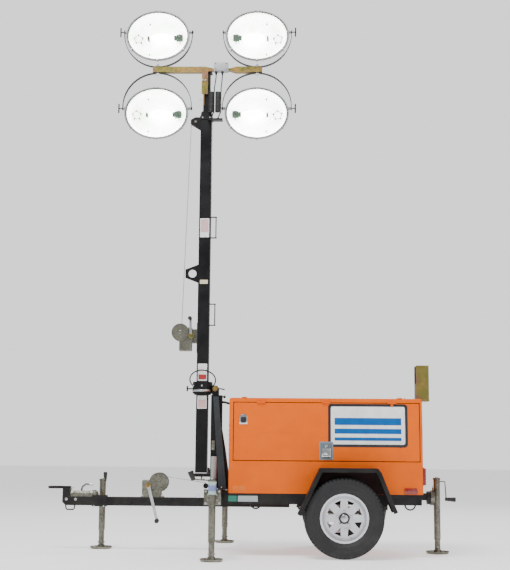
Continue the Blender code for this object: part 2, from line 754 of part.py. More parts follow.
def rim_disc(centre, axis, side):
    """Dished wheel disc with a raised hub and a ring of triangular holes."""
    rings = ((0.382, 0.030, 0.022), (0.636, 0.042, 0.034), (0.840, 0.045, 0.037))
    edge = RIM_R - RIM_SHEET / 2
    front = [(0.0, HUB_CAP_OUT), (HUB_R - 0.012, HUB_CAP_OUT), (HUB_R, 0.040)]
    front += [(share * RIM_R, high) for share, high, _ in rings] + [(edge, 0.030)]
    back = [(edge, 0.022)] + [(share * RIM_R, low) for share, _, low in reversed(rings)]
    back += [(HUB_R, 0.015), (HUB_R, -HUB_BACK), (0.0, -HUB_BACK)]
    disc = turned(front + back, centre, axis, sides=WHEEL_SIDES)
    holes = []
    for i in range(RIM_HOLES):
        angle = 2 * math.pi * (i + 0.5) / RIM_HOLES
        shape = []
        for radius, spread in ((0.448, 0), (0.763, 0.153), (0.763, -0.153)):
            u = RIM_R * (radius * math.cos(angle) - spread * math.sin(angle))
            v = RIM_R * (radius * math.sin(angle) + spread * math.cos(angle))
            shape.append((AXLE_X + u, AXLE_Z + v))
        holes.append(plate([shape], *span(side * WHEEL_Y, side * (WHEEL_Y + 0.08)), "Y"))
    bore = rod((AXLE_X, side * (WHEEL_Y - HUB_BACK - 0.015), AXLE_Z),
               (AXLE_X, side * (WHEEL_Y + HUB_CAP_OUT - RUN), AXLE_Z), SPINDLE_R + 0.0005, 24)
    return cut(disc, holes + [bore])


def make_wheels():
    lip = RIM_WIDTH / 2
    inside = RIM_R - RIM_SHEET
    barrel = [(RIM_LIP_R, lip), (RIM_LIP_R, lip - 0.005), (RIM_R, lip - 0.007), (RIM_R, 0.007 - lip),
              (RIM_LIP_R, 0.005 - lip), (RIM_LIP_R, -lip), (inside, -lip), (inside, lip)]
    for name, side in SIDES:
        centre = (AXLE_X, side * WHEEL_Y, AXLE_Z)
        axis = (0, side, 0)
        tyre = turned(tyre_profile(), centre, axis, sides=WHEEL_SIDES)
        hang(finish("tyre_" + name, [tyre], "rubber"), centre)
        rim = [turned(barrel, centre, axis, sides=WHEEL_SIDES), rim_disc(centre, axis, side)]
        hang(finish("rim_" + name, rim, "rim_white"), centre)


def offset_line(points, depth):
    """The same line set in by a depth, mitred at its bends."""
    moved = []
    for i, point in enumerate(points):
        here = Vector(point)
        near = [Vector(points[k]) for k in (i - 1, i + 1) if 0 <= k < len(points)]
        normals = []
        for other in near:
            run = (here - other) if other.x < here.x else (other - here)
            run.normalize()
            normals.append(Vector((run.y, -run.x)))
        normal = sum(normals, Vector((0, 0))) / len(normals)
        moved.append(tuple(here + normal * depth / normal.length_squared))
    return moved


def make_fenders():
    line = [(AXLE_X + x, AXLE_Z + z) for x, z in FENDER_LINE]
    rim = [offset_line(line, FENDER_T / 2) + offset_line(line, FENDER_LIP)[::-1]]
    for name, side in SIDES:
        near = side * (CHASSIS_HALF_Y + SEAT)
        out = side * FENDER_OUT_Y
        skin = plate([line + offset_line(line, FENDER_T)[::-1]], *span(near, out), "Y")
        lip = plate(rim, *span(out - side * FENDER_T, out - side * WELD), "Y")
        foot = plate(rim, *span(near + side * WELD, near + side * FENDER_T), "Y")
        finish("fender_" + name, [skin, lip, foot], "black", smooth=25)


# Outriggers and jacks

def crank(start, bend, end, grip_end, grip_r):
    """A bent rod with a tapered grip that points from end to grip_end."""
    arm = tube([start, bend, end], CRANK_ROD)
    end = Vector(end)
    grip_end = Vector(grip_end)
    way = (grip_end - end).normalized()
    return joined([arm, rod(end - way * 0.008, grip_end, grip_r * 0.7, 16, grip_r)])


def jack_tube(x, y, low, top, pivot_z):
    body = rod((x, y, low), (x, y, top), JACK_R, JACK_SIDES)
    cap = rod((x, y, top - 0.006), (x, y, top + 0.012), JACK_R + JACK_CAP, JACK_SIDES)
    bore = rod((x, y, low - 0.01), (x, y, pivot_z - LEG_DROP + 0.005), JACK_INNER_R + SEAT, LEG_SIDES)
    return cut(joined([body, cap]), [bore])


def jack_leg(name, x, y, pivot_z, foot_r):
    """The screw leg and its dished foot, hung on the jack's own pivot."""
    leg = rod((x, y, FOOT_FLAT), (x, y, pivot_z - LEG_DROP), JACK_INNER_R, LEG_SIDES)
    foot = turned([(0.0, 0.040), (JACK_INNER_R + 0.006, 0.036), (JACK_INNER_R + 0.012, 0.014),
                   (foot_r - 0.012, FOOT_FLAT), (foot_r, 0.022), (foot_r, 0.017), (foot_r - 0.010, 0.0),
                   (0.0, 0.0)], (x, y, 0), (0, 0, 1), sides=20)
    return hang(finish(name, [leg, foot], "galvanised"), (x, y, pivot_z))


def make_outriggers():
    x = HOUSING_X
    z = HOUSING_Z
    half = HOUSING_SIZE / 2
    housing = square_tube((x, z), half, HOUSING_WALL, -HOUSING_HALF_Y, HOUSING_HALF_Y, "Y")
    finish("outrigger_housing", [housing], "black")
    beam_half = half - HOUSING_WALL - SEAT
    low, top = SIDE_JACK_Z
    for name, side in SIDES:
        y_in = side * BEAM_IN_Y
        y_out = side * BEAM_OUT_Y
        beam = square_tube((x, z), beam_half, HOUSING_WALL, *span(y_in, y_out), "Y")
        pad = plate([rectangle((x, z), *PAD_HALF)], *span(y_out - side * 0.002, y_out + side * PAD_T), "Y")
        hang(finish("outrigger_beam_" + name, [beam, pad], "black"), (x, y_in, z))
        y = side * SIDE_JACK_Y
        seat = y_out + side * (PAD_T + SEAT)
        ring = rod((x, seat, z), (x, y - side * (JACK_R - JACK_BITE), z), SIDE_RING_R, 24)
        handle = crank((x, y, top + 0.005), (x - 0.045, y, top + 0.004), (x - 0.16, y, top + 0.012),
                       (x - 0.185, y, top + 0.075), 0.024)
        jack = finish("side_jack_" + name, [jack_tube(x, y, low, top, z), ring, handle], "galvanised")
        hang(jack, (x, y, z))
        jack_leg("side_jack_leg_" + name, x, y, z, JACK_FOOT_R)


def make_tongue_jack():
    x = TONGUE_JACK_X
    y = TONGUE_JACK_Y
    z = TONGUE_JACK_Z
    low, top = TONGUE_TUBE_Z
    inner = BAR_HALF + SEAT
    outer = inner + TONGUE_CLAMP_T
    pieces = [plate([rectangle((x, z), *TONGUE_CLAMP_HALF)], *span(side * inner, side * outer), "Y")
              for side in (-1, 1)]
    pieces.append(rod((x, outer - 0.002, z), (x, TONGUE_STUB_Y, z), TONGUE_STUB_R, 24))
    bolt_z = BAR_TOP_Z - BAR_HEIGHT - SEAT - CLAMP_BOLT_R
    for dx in (-CLAMP_BOLT_X, CLAMP_BOLT_X):
        bolt_y = outer + 0.006
        pieces.append(rod((x + dx, -bolt_y, bolt_z), (x + dx, bolt_y, bolt_z), CLAMP_BOLT_R, 10))
    finish("tongue_jack_clamp", pieces, "black")
    ring = rod((x, TONGUE_STUB_Y + SEAT, z), (x, y - JACK_R + JACK_BITE, z), TONGUE_RING_R, 24)
    handle = crank((x, y, top + 0.005), (x, y + 0.06, top + 0.006), (x, y + 0.13, top - 0.004),
                   (x, y + 0.135, top + 0.07), 0.018)
    hang(finish("tongue_jack", [jack_tube(x, y, low, top, z), ring, handle], "galvanised"), (x, y, z))
    jack_leg("tongue_jack_leg", x, y, z, JACK_FOOT_R + 0.005)


def make_rear_jack():
    x = REAR_JACK_X
    z = REAR_JACK_Z
    low, top = REAR_TUBE_Z
    half = REAR_STUB_HALF
    beam = box((CHASSIS_X[1] + SEAT, -half, z - REAR_STUB_LOW), (REAR_STUB_X - 0.002, half, z + half))
    flange = rod((REAR_STUB_X - 0.012, 0, z), (REAR_STUB_X + 0.02, 0, z), REAR_FLANGE_R, 24)
    finish("rear_jack_stub", [beam, flange], "black")
    ring = rod((REAR_STUB_X + 0.02 + SEAT, 0, z), (x - JACK_R + JACK_BITE, 0, z), REAR_RING_R, 24)
    grip_z = z - 0.012
    handle = crank((x, 0, top - 0.02), (x + 0.075, 0, top - 0.022), (x + 0.085, 0, grip_z),
                   (x + 0.1693, 0, grip_z - 0.003), 0.020)
    hang(finish("rear_jack", [jack_tube(x, 0, low, top, z), ring, handle], "galvanised"), (x, 0, z))
    jack_leg("rear_jack_leg", x, 0, z, JACK_FOOT_R + 0.008)


# Winches

def winch(x, z, disc_r, width):
    """A drum of wound cable between two side plates."""
    half = width / 2
    pieces = [rod((x, -half, z), (x, half, z), disc_r * DRUM_SHARE, 24)]
    for side in (-1, 1):
        pieces.append(rod((x, side * (half - WINCH_CHEEK), z), (x, side * half, z), disc_r, 28))
    return pieces


def make_tilt_winch():
    base = BAR_TOP_Z + SEAT
    x = TILT_WINCH_X
    z = TILT_WINCH_Z
    hub = (TILT_HUB_X, TILT_HUB_Z)
    half = TILT_WINCH_WIDTH / 2
    cover = box((x - 0.155, 0.0035 - half, base), (x - 0.015, half - 0.0035, z + 0.02), bevel=0.01)
    foot = box((x - 0.165, -half, base), (x + 0.045, half, base + 0.008))
    web = box((x - 0.055, 0.0075 - half, base), (x + 0.025, half - 0.0075, z - 0.015))
    axle = rod((hub[0], -half - 0.0145, hub[1]), (hub[0], 0.0, hub[1]), 0.016, 20)
    pieces = winch(x, z, TILT_WINCH_R, TILT_WINCH_WIDTH) + [cover, foot, web, axle]
    finish("tilt_winch", pieces, "galvanised")
    near = -half - 0.0148
    tip = (hub[0] + 0.0915, hub[1] + 0.0035 - TILT_CRANK_LENGTH)
    arm = plate([[(hub[0] - 0.015, hub[1] + 0.008), (hub[0] + 0.015, hub[1] + 0.008),
                  (tip[0] + 0.0115, tip[1] + 0.0065), (tip[0] - 0.0115, tip[1] - 0.0005)]],
                near - CRANK_T, near, "Y")
    knob_z = tip[1] + 0.0145
    knob = rod((tip[0], near - CRANK_T / 2, knob_z), (tip[0], near - 0.0777, knob_z), 0.014, 16, 0.018)
    finish("tilt_winch_crank", [arm, knob], "steel")
    over_pulley = (PULLEY_X, 0, PULLEY_Z + PULLEY_R + 0.003)
    wire = tube([(x + 0.07, 0, z + 0.05), (-0.60, 0, z + 0.025), over_pulley], WIRE_R)
    finish("tilt_cable", [wire], "steel")


def make_mast_winch():
    x = MAST_WINCH_X
    z = MAST_WINCH_Z
    hx = MAST_HUB_X
    hz = MAST_HUB_Z
    half = MAST_WINCH_WIDTH / 2
    face = MAST_X - MAST_HALF - SEAT
    cover = box((x - 0.01, 0.005 - half, z - 0.175), (face - 0.05, half - 0.005, z + 0.05), bevel=0.01)
    back = box((face - 0.006, -half, z - 0.19), (face, half, z + 0.09))
    arm = box((face - 0.07, 0.01 - half, z - 0.10), (face - 0.004, half - 0.01, z + 0.03))
    hub = rod((hx, -half - 0.011, hz), (hx, 0.0, hz), 0.014, 20)
    pieces = winch(x, z, MAST_WINCH_R, MAST_WINCH_WIDTH) + [cover, back, arm, hub]
    finish("mast_winch", pieces, "galvanised")
    near = -half - 0.0113
    top = hz + MAST_CRANK_LENGTH
    handle = plate([[(hx - 0.012, hz - 0.012), (hx + 0.012, hz - 0.012),
                     (hx + 0.004, top), (hx - 0.016, top)]],
                   near - CRANK_T, near, "Y")
    knob = rod((hx - 0.006, near - CRANK_T / 2, top - 0.015), (hx - 0.006, near - 0.0737, top - 0.015),
               0.012, 16, 0.016)
    finish("mast_winch_crank", [handle, knob], "steel")
    wire_top = (MAST_X - MAST_HALF - SHEAVE_X - SHEAVE_R - WIRE_R - SEAT, 0, MAST_Z[1] - SHEAVE_Z)
    wire = tube([(x + 0.01, 0, z + MAST_WINCH_R + 0.0005), wire_top], WIRE_R)
    finish("hoist_wire", [wire], "steel")


# Tower and mast

def make_tower():
    z0 = TOWER_BASE_Z
    x0, x1 = TOWER_X
    y = TOWER_HALF_Y
    rear = [(HOUSING_X + 0.090, z0), (HOUSING_X + 0.084, DECK_Z + 0.16), (HOUSING_X + 0.052, DECK_Z + 0.38),
            (x1, DECK_Z + 0.57)]
    pieces = [plate([[(x0, z0)] + rear + [(x1, TOWER_POST_TOP), (x0, TOWER_POST_TOP)]], -y, y, "Y")]
    ear = [(PIVOT_X - EAR_R, PIVOT_Z - EAR_LOW), (PIVOT_X + EAR_R, PIVOT_Z - EAR_LOW)]
    ear += arc((PIVOT_X, PIVOT_Z), EAR_R, 0, 180)
    leg_top = TOWER_POST_TOP - 0.015
    leg = [(PIVOT_X - 0.016, leg_top), (PIVOT_X + 0.033, leg_top),
           (HOUSING_X + 0.068, z0), (HOUSING_X - 0.002, z0)]
    for side in (-1, 1):
        pieces.append(plate([ear], *span(side * EAR_IN_Y, side * (y + WELD / 2)), "Y"))
        pieces.append(plate([leg], *span(side * (y - 0.004), side * TOWER_LEG_Y), "Y"))
    pin_end = PIVOT_HEAD_Y - 0.002
    pieces.append(rod((PIVOT_X, -pin_end, PIVOT_Z), (PIVOT_X, pin_end, PIVOT_Z), PIVOT_R, 24))
    pieces.append(rod((PIVOT_X, -PIVOT_HEAD_Y, PIVOT_Z), (PIVOT_X, WELD - y, PIVOT_Z), PIVOT_HEAD_R, 24))
    pieces.append(box((SHELF_X[0], -SHELF_HALF_Y, SHELF_Z - SHELF_T), (SHELF_X[1], SHELF_HALF_Y, SHELF_Z)))
    pieces.append(box((HOUSING_X - 0.035, -0.12, z0), (HOUSING_X + 0.035, 0.12, z0 + 0.012)))
    pieces.append(rod((PULLEY_X, -0.012, PULLEY_Z), (PULLEY_X, 0.012, PULLEY_Z), PULLEY_R, 20))
    pieces.append(box((PULLEY_X - 0.005, -0.006, PULLEY_Z - 0.013), (x0 + 0.01, 0.006, PULLEY_Z + 0.013)))
    canister_y = WELD - y - CANISTER_R
    foot, top = ((CANISTER_X, canister_y, z) for z in CANISTER_Z)
    pieces.append(rod(foot, top, CANISTER_R))
    pieces.append(box((CATCH_X[0], -y - CATCH_T, CATCH_Z[0]), (CATCH_X[1], WELD - y, CATCH_Z[1])))
    return finish("tower", pieces, "tower_grey")


def make_collar():
    z0, z1 = COLLAR_Z
    bore = JOURNAL_R + SEAT
    section = [(COLLAR_R, z1), (COLLAR_R, z0), (bore, z0), (bore, z1)]
    ring = turned(section, (MAST_X, 0, 0), (0, 0, 1), sides=36)
    width = EAR_IN_Y - SEAT
    start = MAST_X + COLLAR_R - 0.006
    nose = arc((PIVOT_X, PIVOT_Z), LUG_R, -90, 90)
    lug = plate([[(start, PIVOT_Z - LUG_R)] + nose + [(start, PIVOT_Z + LUG_R)],
                 circle((PIVOT_X, PIVOT_Z), PIVOT_R + 0.0005)], -width, width, "Y")
    lean = math.cos(HOOP_TILT)
    drop = math.sin(HOOP_TILT)
    hoop = [(x, y * lean, HOOP_Z - y * drop) for x, y in circle((MAST_X, 0), HOOP_R, HOOP_SIDES)]
    handle = tube(hoop, HOOP_ROD, cyclic=True)
    strut_y = HOOP_R * lean + WELD
    strut = rod((MAST_X, strut_y, z1 - 0.03), (MAST_X, strut_y, HOOP_Z - HOOP_R * drop), HOOP_ROD, 12)
    out = MAST_X - COLLAR_R - KNOB_REACH
    knob_z = PIVOT_Z + WELD
    stem = rod((MAST_X - COLLAR_R + 0.004, 0, knob_z), (out, 0, knob_z), KNOB_ROD, 12)
    bar = rod((out, 0, knob_z - KNOB_HALF), (out, 0, knob_z + KNOB_HALF), KNOB_ROD + WELD, 12)
    body = finish("collar", [ring, lug, handle, strut, stem, bar], "black")
    return hang(body, (PIVOT_X, 0, PIVOT_Z))


def make_mast():
    z0, z1 = MAST_Z
    half = MAST_HALF
    here = (MAST_X, 0)
    left = MAST_X - half
    right = MAST_X + half
    grip = half - MAST_WALL + 0.002
    pieces = [square_tube(here, half, MAST_WALL, z0, z1 - 0.03, "Z")]
    for radius, low, high in ((JOURNAL_R, COLLAR_Z[0] - 0.012, COLLAR_Z[1] + 0.002),
                              (COLLAR_R - 0.002, COLLAR_Z[1] + SEAT, COLLAR_Z[1] + 0.014)):
        pieces.append(plate([circle(here, radius, 36), rectangle(here, grip, grip)], low, high, "Z"))
    pieces.append(square_tube(here, half + RUN, half + RUN - MID_HALF - SEAT, z1 - GUIDE_T, z1, "Z"))
    eye_x = left - EYE_DEPTH
    eye = [(left + 0.003, EYE_Z - 0.09), (left + 0.003, EYE_Z + 0.09),
           (eye_x, EYE_Z + 0.04), (eye_x, EYE_Z - 0.04)]
    pieces.append(plate([eye, circle((left - 0.058, EYE_Z), EYE_HOLE_R, 20)], -0.006, 0.006, "Y"))
    head = [(left + 0.003, z1 - 0.13), (left + 0.003, z1 - 0.005), (left - 0.055, z1 - 0.005),
            (left - 0.098, z1 - 0.03), (left - 0.098, z1 - 0.07)]
    for y in (-CHEEK_Y, CHEEK_Y):
        pieces.append(plate([head], y - CHEEK_T / 2, y + CHEEK_T / 2, "Y"))
    sheave = (left - SHEAVE_X, z1 - SHEAVE_Z)
    sheave_y = CHEEK_Y + WELD
    pieces.append(rod((sheave[0], -sheave_y, sheave[1]), (sheave[0], sheave_y, sheave[1]), SHEAVE_R, 24))
    for z in CABLE_GUIDE_Z:
        for end in (z - CABLE_GUIDE_HALF, z + CABLE_GUIDE_HALF):
            pieces.append(box((right - 0.003, -0.012, end - 0.004),
                              (right + CABLE_GUIDE_OUT + 0.008, 0.012, end + 0.004)))
        pieces.append(rod((right + CABLE_GUIDE_OUT, 0, z - CABLE_GUIDE_HALF),
                          (right + CABLE_GUIDE_OUT, 0, z + CABLE_GUIDE_HALF), 0.005, 12))
    pieces.append(box((MAST_X + 0.02, -GLAND_OUT_Y, GLAND_Z),
                      (MAST_X + 0.16, 0.003 - half, GLAND_Z + GLAND_T)))
    hang(finish("mast_outer", pieces, "black"), (MAST_X, 0, PIVOT_Z))

    z0, z1 = MID_Z
    mid = square_tube(here, MID_HALF, MAST_WALL, z0, z1 - 0.01, "Z")
    ring = square_tube(here, half - 0.002, half - 0.002 - INNER_HALF - SEAT, MAST_Z[1] + SEAT, z1, "Z")
    hang(finish("mast_mid", [mid, ring], "black"), (MAST_X, 0, PIVOT_Z))

    z0, z1 = INNER_Z
    inner = square_tube(here, INNER_HALF, MAST_WALL, z0, z1 - 0.002, "Z")
    stop = square_tube(here, MID_HALF, MID_HALF - INNER_HALF + 0.002, MID_Z[1] + SEAT, MID_Z[1] + STOP_T, "Z")
    cap = box((MAST_X - CAP_HALF, -CAP_HALF, z1 - CAP_T), (MAST_X + CAP_HALF, CAP_HALF, z1))
    hang(finish("mast_inner", [inner, stop, cap], "black"), (MAST_X, 0, PIVOT_Z))


def make_crossarm():
    half = ARM_SIZE / 2
    web = ARM_WEB_HALF
    low = ARM_Z - half
    high = ARM_Z + half
    x0 = MAST_X - ARM_HALF_LENGTH
    x1 = MAST_X + ARM_HALF_LENGTH
    outline = [(x0, low), (ARM_FULL_X[0] + 0.045, low),
               (ARM_WEB_X[0], ARM_Z - web), (ARM_WEB_X[1], ARM_Z - web),
               (ARM_FULL_X[1], low), (x1, low), (x1, high),
               (ARM_FULL_X[1], high), (ARM_WEB_X[1], ARM_Z + web),
               (ARM_WEB_X[0], ARM_Z + web), (ARM_FULL_X[0], high), (x0, high)]
    arm = plate([outline], -half, half, "Y")
    back = -CAP_HALF - WELD / 2
    front = back - BRACKET_T
    left, right = BRACKET_X
    shelf = box((left, front, low + WELD), (right, WELD - half, low + WELD + RUN))
    strap = box((left, front, low - BRACKET_DROP), (right, back, low + WELD + RUN))
    rod_x = (left + right) / 2 - 0.004
    rod_y = (front + back) / 2
    end = low - BRACKET_DROP - BRACKET_ROD_DROP
    pull = rod((rod_x, rod_y, end), (rod_x, rod_y, low - BRACKET_DROP + RUN), BRACKET_ROD_R, 10)
    finish("crossarm", [arm, shelf, strap, pull], "yellow_zinc")


def make_head():
    make_crossarm()
    face = -ARM_SIZE / 2 - SEAT
    low = ARM_Z - BOX_LOW
    case = box((BOX_X[0], face - BOX_DEPTH, low), (BOX_X[1], face, ARM_Z + BOX_HIGH), bevel=0.004)
    finish("junction_box", [case], "box_grey")
    low_end = GLAND_Z + GLAND_T + SEAT
    top_end = low - SEAT
    for name, top_x, low_x, coil_top in CORDS:
        x = MAST_X + low_x
        points = [(MAST_X + top_x, CORD_TOP_Y, top_end), (MAST_X + top_x, CORD_TOP_Y, top_end - 0.05),
                  (MAST_X + (top_x + low_x) / 2, -0.084, coil_top + 0.04), (x, COIL_Y, coil_top),
                  (x, COIL_Y, coil_top - 0.01), (x, COIL_Y, low_end + 0.035), (x, COIL_Y, low_end + 0.025),
                  (x, COIL_Y, low_end)]
        radii = [0.25, 0.25, 0.25, 0.3, 1.0, 1.0, 0.3, 0.25]
        finish(name, [tube(points, COIL_R, radii=radii)], "rubber")


# Lamps

def make_lamps():
    for row, up in (("top", 1), ("bottom", -1)):
        for column, side in (("left", -1), ("right", 1)):
            name = row + "_" + column
            x = MAST_X + side * LAMP_X
            pivot_z = ARM_Z + up * LAMP_PIVOT
            make_yoke("yoke_" + name, x, pivot_z, up, side)
            make_lamp(name, x, pivot_z, math.radians(LAMP_TILT[row]))


def make_yoke(name, x, pivot_z, up, side):
    """A strap bent to half an ellipse, with a wing screw on one pivot and a nut on the other."""
    depth = LAMP_PIVOT - ARM_SIZE / 2 - SEAT
    half = YOKE_T / 2
    outer = []
    inner = []
    for i in range(25):
        a = math.pi * i / 24
        for line, way in ((outer, 1), (inner, -1)):
            reach = depth - (YOKE_T if way < 0 else 0.0)
            low = YOKE_STRAIGHT + (reach - YOKE_STRAIGHT) * math.sin(a)
            line.append((x + (YOKE_A + way * half) * math.cos(a), pivot_z - up * low))
    tip = pivot_z + up * YOKE_TIP
    left = [(x - YOKE_A - half, tip), (x - YOKE_A + half, tip)]
    right = [(x + YOKE_A - half, tip), (x + YOKE_A + half, tip)]
    strap = plate([outer + left + inner[::-1] + right], -YOKE_WIDTH / 2, YOKE_WIDTH / 2, "Y")
    out = x + side * (YOKE_A + half)
    grip_x = out + side * YOKE_GRIP_REACH
    stem = rod((out - side * 0.003, 0, pivot_z), (grip_x, 0, pivot_z), 0.005, 10)
    grip = rod((grip_x, 0, pivot_z - YOKE_GRIP_HALF), (grip_x, 0, pivot_z + YOKE_GRIP_HALF), 0.0065, 12)
    back = x - side * (YOKE_A + half)
    nut = rod((back + side * 0.003, 0, pivot_z), (back - side * YOKE_NUT, 0, pivot_z), YOKE_NUT_R, 6)
    hang(finish(name, [strap, stem, grip, nut], "black"), (x, 0, ARM_Z))


def make_lamp(name, x, pivot_z, tilt):
    """An oval bowl with a rim, and the glass that is let into it."""
    front = -LAMP_FRONT
    seat = front + 0.012
    shell = [(0.0, 0.10), (0.25, 0.098), (0.55, 0.083), (0.80, 0.048), (0.90, 0.0), (0.93, front + 0.032),
             (1.0, front + 0.032), (1.0, front), (0.962, front), (0.962, seat), (0.935, seat),
             (0.905, front + 0.03), (0.87, 0.0), (0.77, 0.042), (0.53, 0.075), (0.25, 0.089), (0.0, 0.091)]
    centre = Vector((x, 0, pivot_z - LAMP_DROP))
    scale = (LAMP_HALF_W, 1.0, LAMP_HALF_H)
    pieces = [turned(shell, centre, (0, 1, 0), sides=LAMP_SIDES, scale=scale)]
    for side in (-1, 1):
        pieces.append(rod((x + side * LAMP_HALF_W * 0.85, 0, pivot_z),
                          (x + side * (YOKE_A - YOKE_T / 2 - SEAT), 0, pivot_z), LAMP_BOSS_R, 16))
    body = finish("lamp_" + name, pieces, "lamp_grey")
    glass = [(0.0, 0.004 - front), (0.6, 0.002 - front), (0.958, -0.004 - front), (0.958, SEAT - seat),
             (0.0, SEAT - seat)]
    lens = finish("lens_" + name, [turned(glass, centre, (0, -1, 0), sides=LAMP_SIDES, scale=scale)], "lens")
    for obj in (body, lens):
        hang(obj, (x, 0, pivot_z))
        obj.rotation_euler = (tilt, 0, 0)


# Fittings on the canopy

def make_rest():
    """The cradle that the mast lies in when it is folded, as deep as its folded axis asks."""
    base = CANOPY_Z[1] + SEAT
    x0 = CANOPY_X[1] + WELD
    x1 = x0 + REST_WIDTH
    foot = box((x0 - REST_LAP, -REST_HALF_Y, base), (x1, REST_HALF_Y, base + REST_PLATE))
    seat_top = PIVOT_Z + PIVOT_X - MAST_X - MAST_HALF - REST_GAP
    inner = MAST_HALF + REST_GAP
    outer = inner + REST_WALL
    low = base + 0.01
    high = CANOPY_Z[1] + REST_HEIGHT
    cup = [(-outer, low), (outer, low), (outer, high), (inner, high), (inner, seat_top), (-inner, seat_top),
           (-inner, high), (-outer, high)]
    finish("mast_rest", [foot, plate([cup], x0, x1, "X")], "yellow_zinc")


def make_lights():
    x = CANOPY_X[1] + SEAT
    for name, side in SIDES:
        y = side * TAIL_Y
        lamp = box((x, y - TAIL_HALF_Y, TAIL_Z[0]), (x + TAIL_DEPTH, y + TAIL_HALF_Y, TAIL_Z[1]), bevel=0.008)
        finish("tail_lamp_" + name, [lamp], "red")


clear_scene()
parts = make_collection(PARTS)
make_frame()
make_drawbar()
make_hitch()
make_coupler()
make_canopy()
make_doors()
make_engine()
make_axle()
make_springs()
make_wheels()
make_fenders()
make_outriggers()
make_tongue_jack()
make_rear_jack()
make_tilt_winch()
make_mast_winch()
make_tower()
make_collar()
make_mast()
make_head()
make_lamps()
make_rest()
make_lights()
bpy.context.view_layer.update()
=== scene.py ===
# Looks of the towable light tower: finishes, tyres, lamps, coiled cords and small fittings.
# Metres, +Z up, +X to the rear of the trailer, -Y is the side that the camera sees.

import json
import math

import bmesh
import bpy
from mathutils import Matrix, Vector


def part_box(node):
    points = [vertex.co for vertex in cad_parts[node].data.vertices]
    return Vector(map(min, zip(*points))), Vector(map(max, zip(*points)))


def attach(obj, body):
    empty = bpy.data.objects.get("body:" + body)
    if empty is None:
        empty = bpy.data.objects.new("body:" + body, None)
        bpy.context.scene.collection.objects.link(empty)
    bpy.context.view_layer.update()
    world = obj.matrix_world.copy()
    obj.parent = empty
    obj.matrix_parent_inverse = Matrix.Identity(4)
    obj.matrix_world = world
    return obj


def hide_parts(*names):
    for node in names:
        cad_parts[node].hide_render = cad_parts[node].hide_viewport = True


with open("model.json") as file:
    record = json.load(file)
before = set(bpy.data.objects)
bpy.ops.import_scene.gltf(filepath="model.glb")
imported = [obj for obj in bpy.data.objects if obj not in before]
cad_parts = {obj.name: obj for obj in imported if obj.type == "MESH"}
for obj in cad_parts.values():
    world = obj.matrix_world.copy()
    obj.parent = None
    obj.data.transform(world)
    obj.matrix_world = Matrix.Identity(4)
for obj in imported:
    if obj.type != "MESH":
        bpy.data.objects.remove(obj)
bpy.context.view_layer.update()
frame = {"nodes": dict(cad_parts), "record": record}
nodes = frame["nodes"]

# Camera, worked out from the photograph's 510 x 570 frame
CAMERA_AT = (0.33, -10.5, 0.885)
CAMERA_PITCH = 8.5
CAMERA_YAW = 1.68
CAMERA_ROLL = 0.5
FOCAL_PIXELS = 1126.0
IMAGE_HEIGHT = 570.0
SENSOR = 36.0

# Directions, and places shared by several pieces
UP, DOWN = (0, 0, 1), (0, 0, -1)
NEAR, FAR, REAR = (0, -1, 0), (0, 1, 0), (1, 0, 0)
SIDES = (("near", -1), ("far", 1))
FULL_TURN = 2 * math.pi
MAST_X = -0.458
MAST_HALF = 0.054
PIVOT_X = -0.336
PIVOT_Z = 1.474
POST_HALF = 0.0462
LEG_X = -0.369
ARM_Z = 4.564
ARM_HALF = 0.0275
LAMP_X = 0.4835
LAMP_PIVOT = 0.385
LAMP_DROP = 0.06
LAMP_HALF_W = 0.3075
LAMP_HALF_H = 0.25
LAMP_TILT = {"top": 0.0, "bottom": 5.0}
CANOPY_Y = 0.55
CANOPY_LEAN = 0.021
CREASE_Z = 1.07
BAND_Z = 1.345
CANOPY_LOW, CANOPY_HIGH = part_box("canopy")


# Shader node helpers

def give(tree, socket, value):
    """Link a socket to another one, or set it to a number or a colour."""
    if isinstance(value, bpy.types.NodeSocket):
        tree.links.new(value, socket)
    else:
        socket.default_value = (*value, 1.0) if socket.type == "RGBA" else value


def add(tree, kind, values=None, **settings):
    """Add a shader node; values are numbers, colours or sockets to link from."""
    node = tree.nodes.new("ShaderNode" + kind)
    for key, value in settings.items():
        setattr(node, key, value)
    for key, value in (values or {}).items():
        give(tree, node.inputs[key], value)
    return node


def calc(tree, operation, a, b=0.0, clamp=False):
    return add(tree, "Math", {0: a, 1: b}, operation=operation, use_clamp=clamp).outputs[0]


def ramp(tree, value, low, high, start=0.0, end=1.0):
    values = {"Value": value, "From Min": low, "From Max": high, "To Min": start, "To Max": end}
    return add(tree, "MapRange", values, interpolation_type="SMOOTHSTEP").outputs[0]


def mix(tree, share, a, b):
    return add(tree, "Mix", {0: share, 6: a, 7: b}, data_type="RGBA").outputs[2]


def spot(tree):
    return add(tree, "TexCoord").outputs["Object"]


def noise(tree, scale, detail=3.0, stretch=(1.0, 1.0, 1.0), rough=0.5):
    place = add(tree, "Mapping", {"Vector": spot(tree), "Scale": stretch}).outputs[0]
    values = {"Vector": place, "Scale": scale, "Detail": detail, "Roughness": rough}
    return add(tree, "TexNoise", values).outputs["Fac"]


def new_group(name, inputs, outputs):
    """A group that puts out masks and values, with the defaults of its inputs."""
    tree = bpy.data.node_groups.new(name, "ShaderNodeTree")
    for label, value in inputs.items():
        socket = tree.interface.new_socket(label, in_out="INPUT", socket_type="NodeSocketFloat")
        socket.default_value = value
    for label in outputs:
        tree.interface.new_socket(label, in_out="OUTPUT", socket_type="NodeSocketFloat")
    return tree, tree.nodes.new("NodeGroupInput").outputs, tree.nodes.new("NodeGroupOutput").inputs


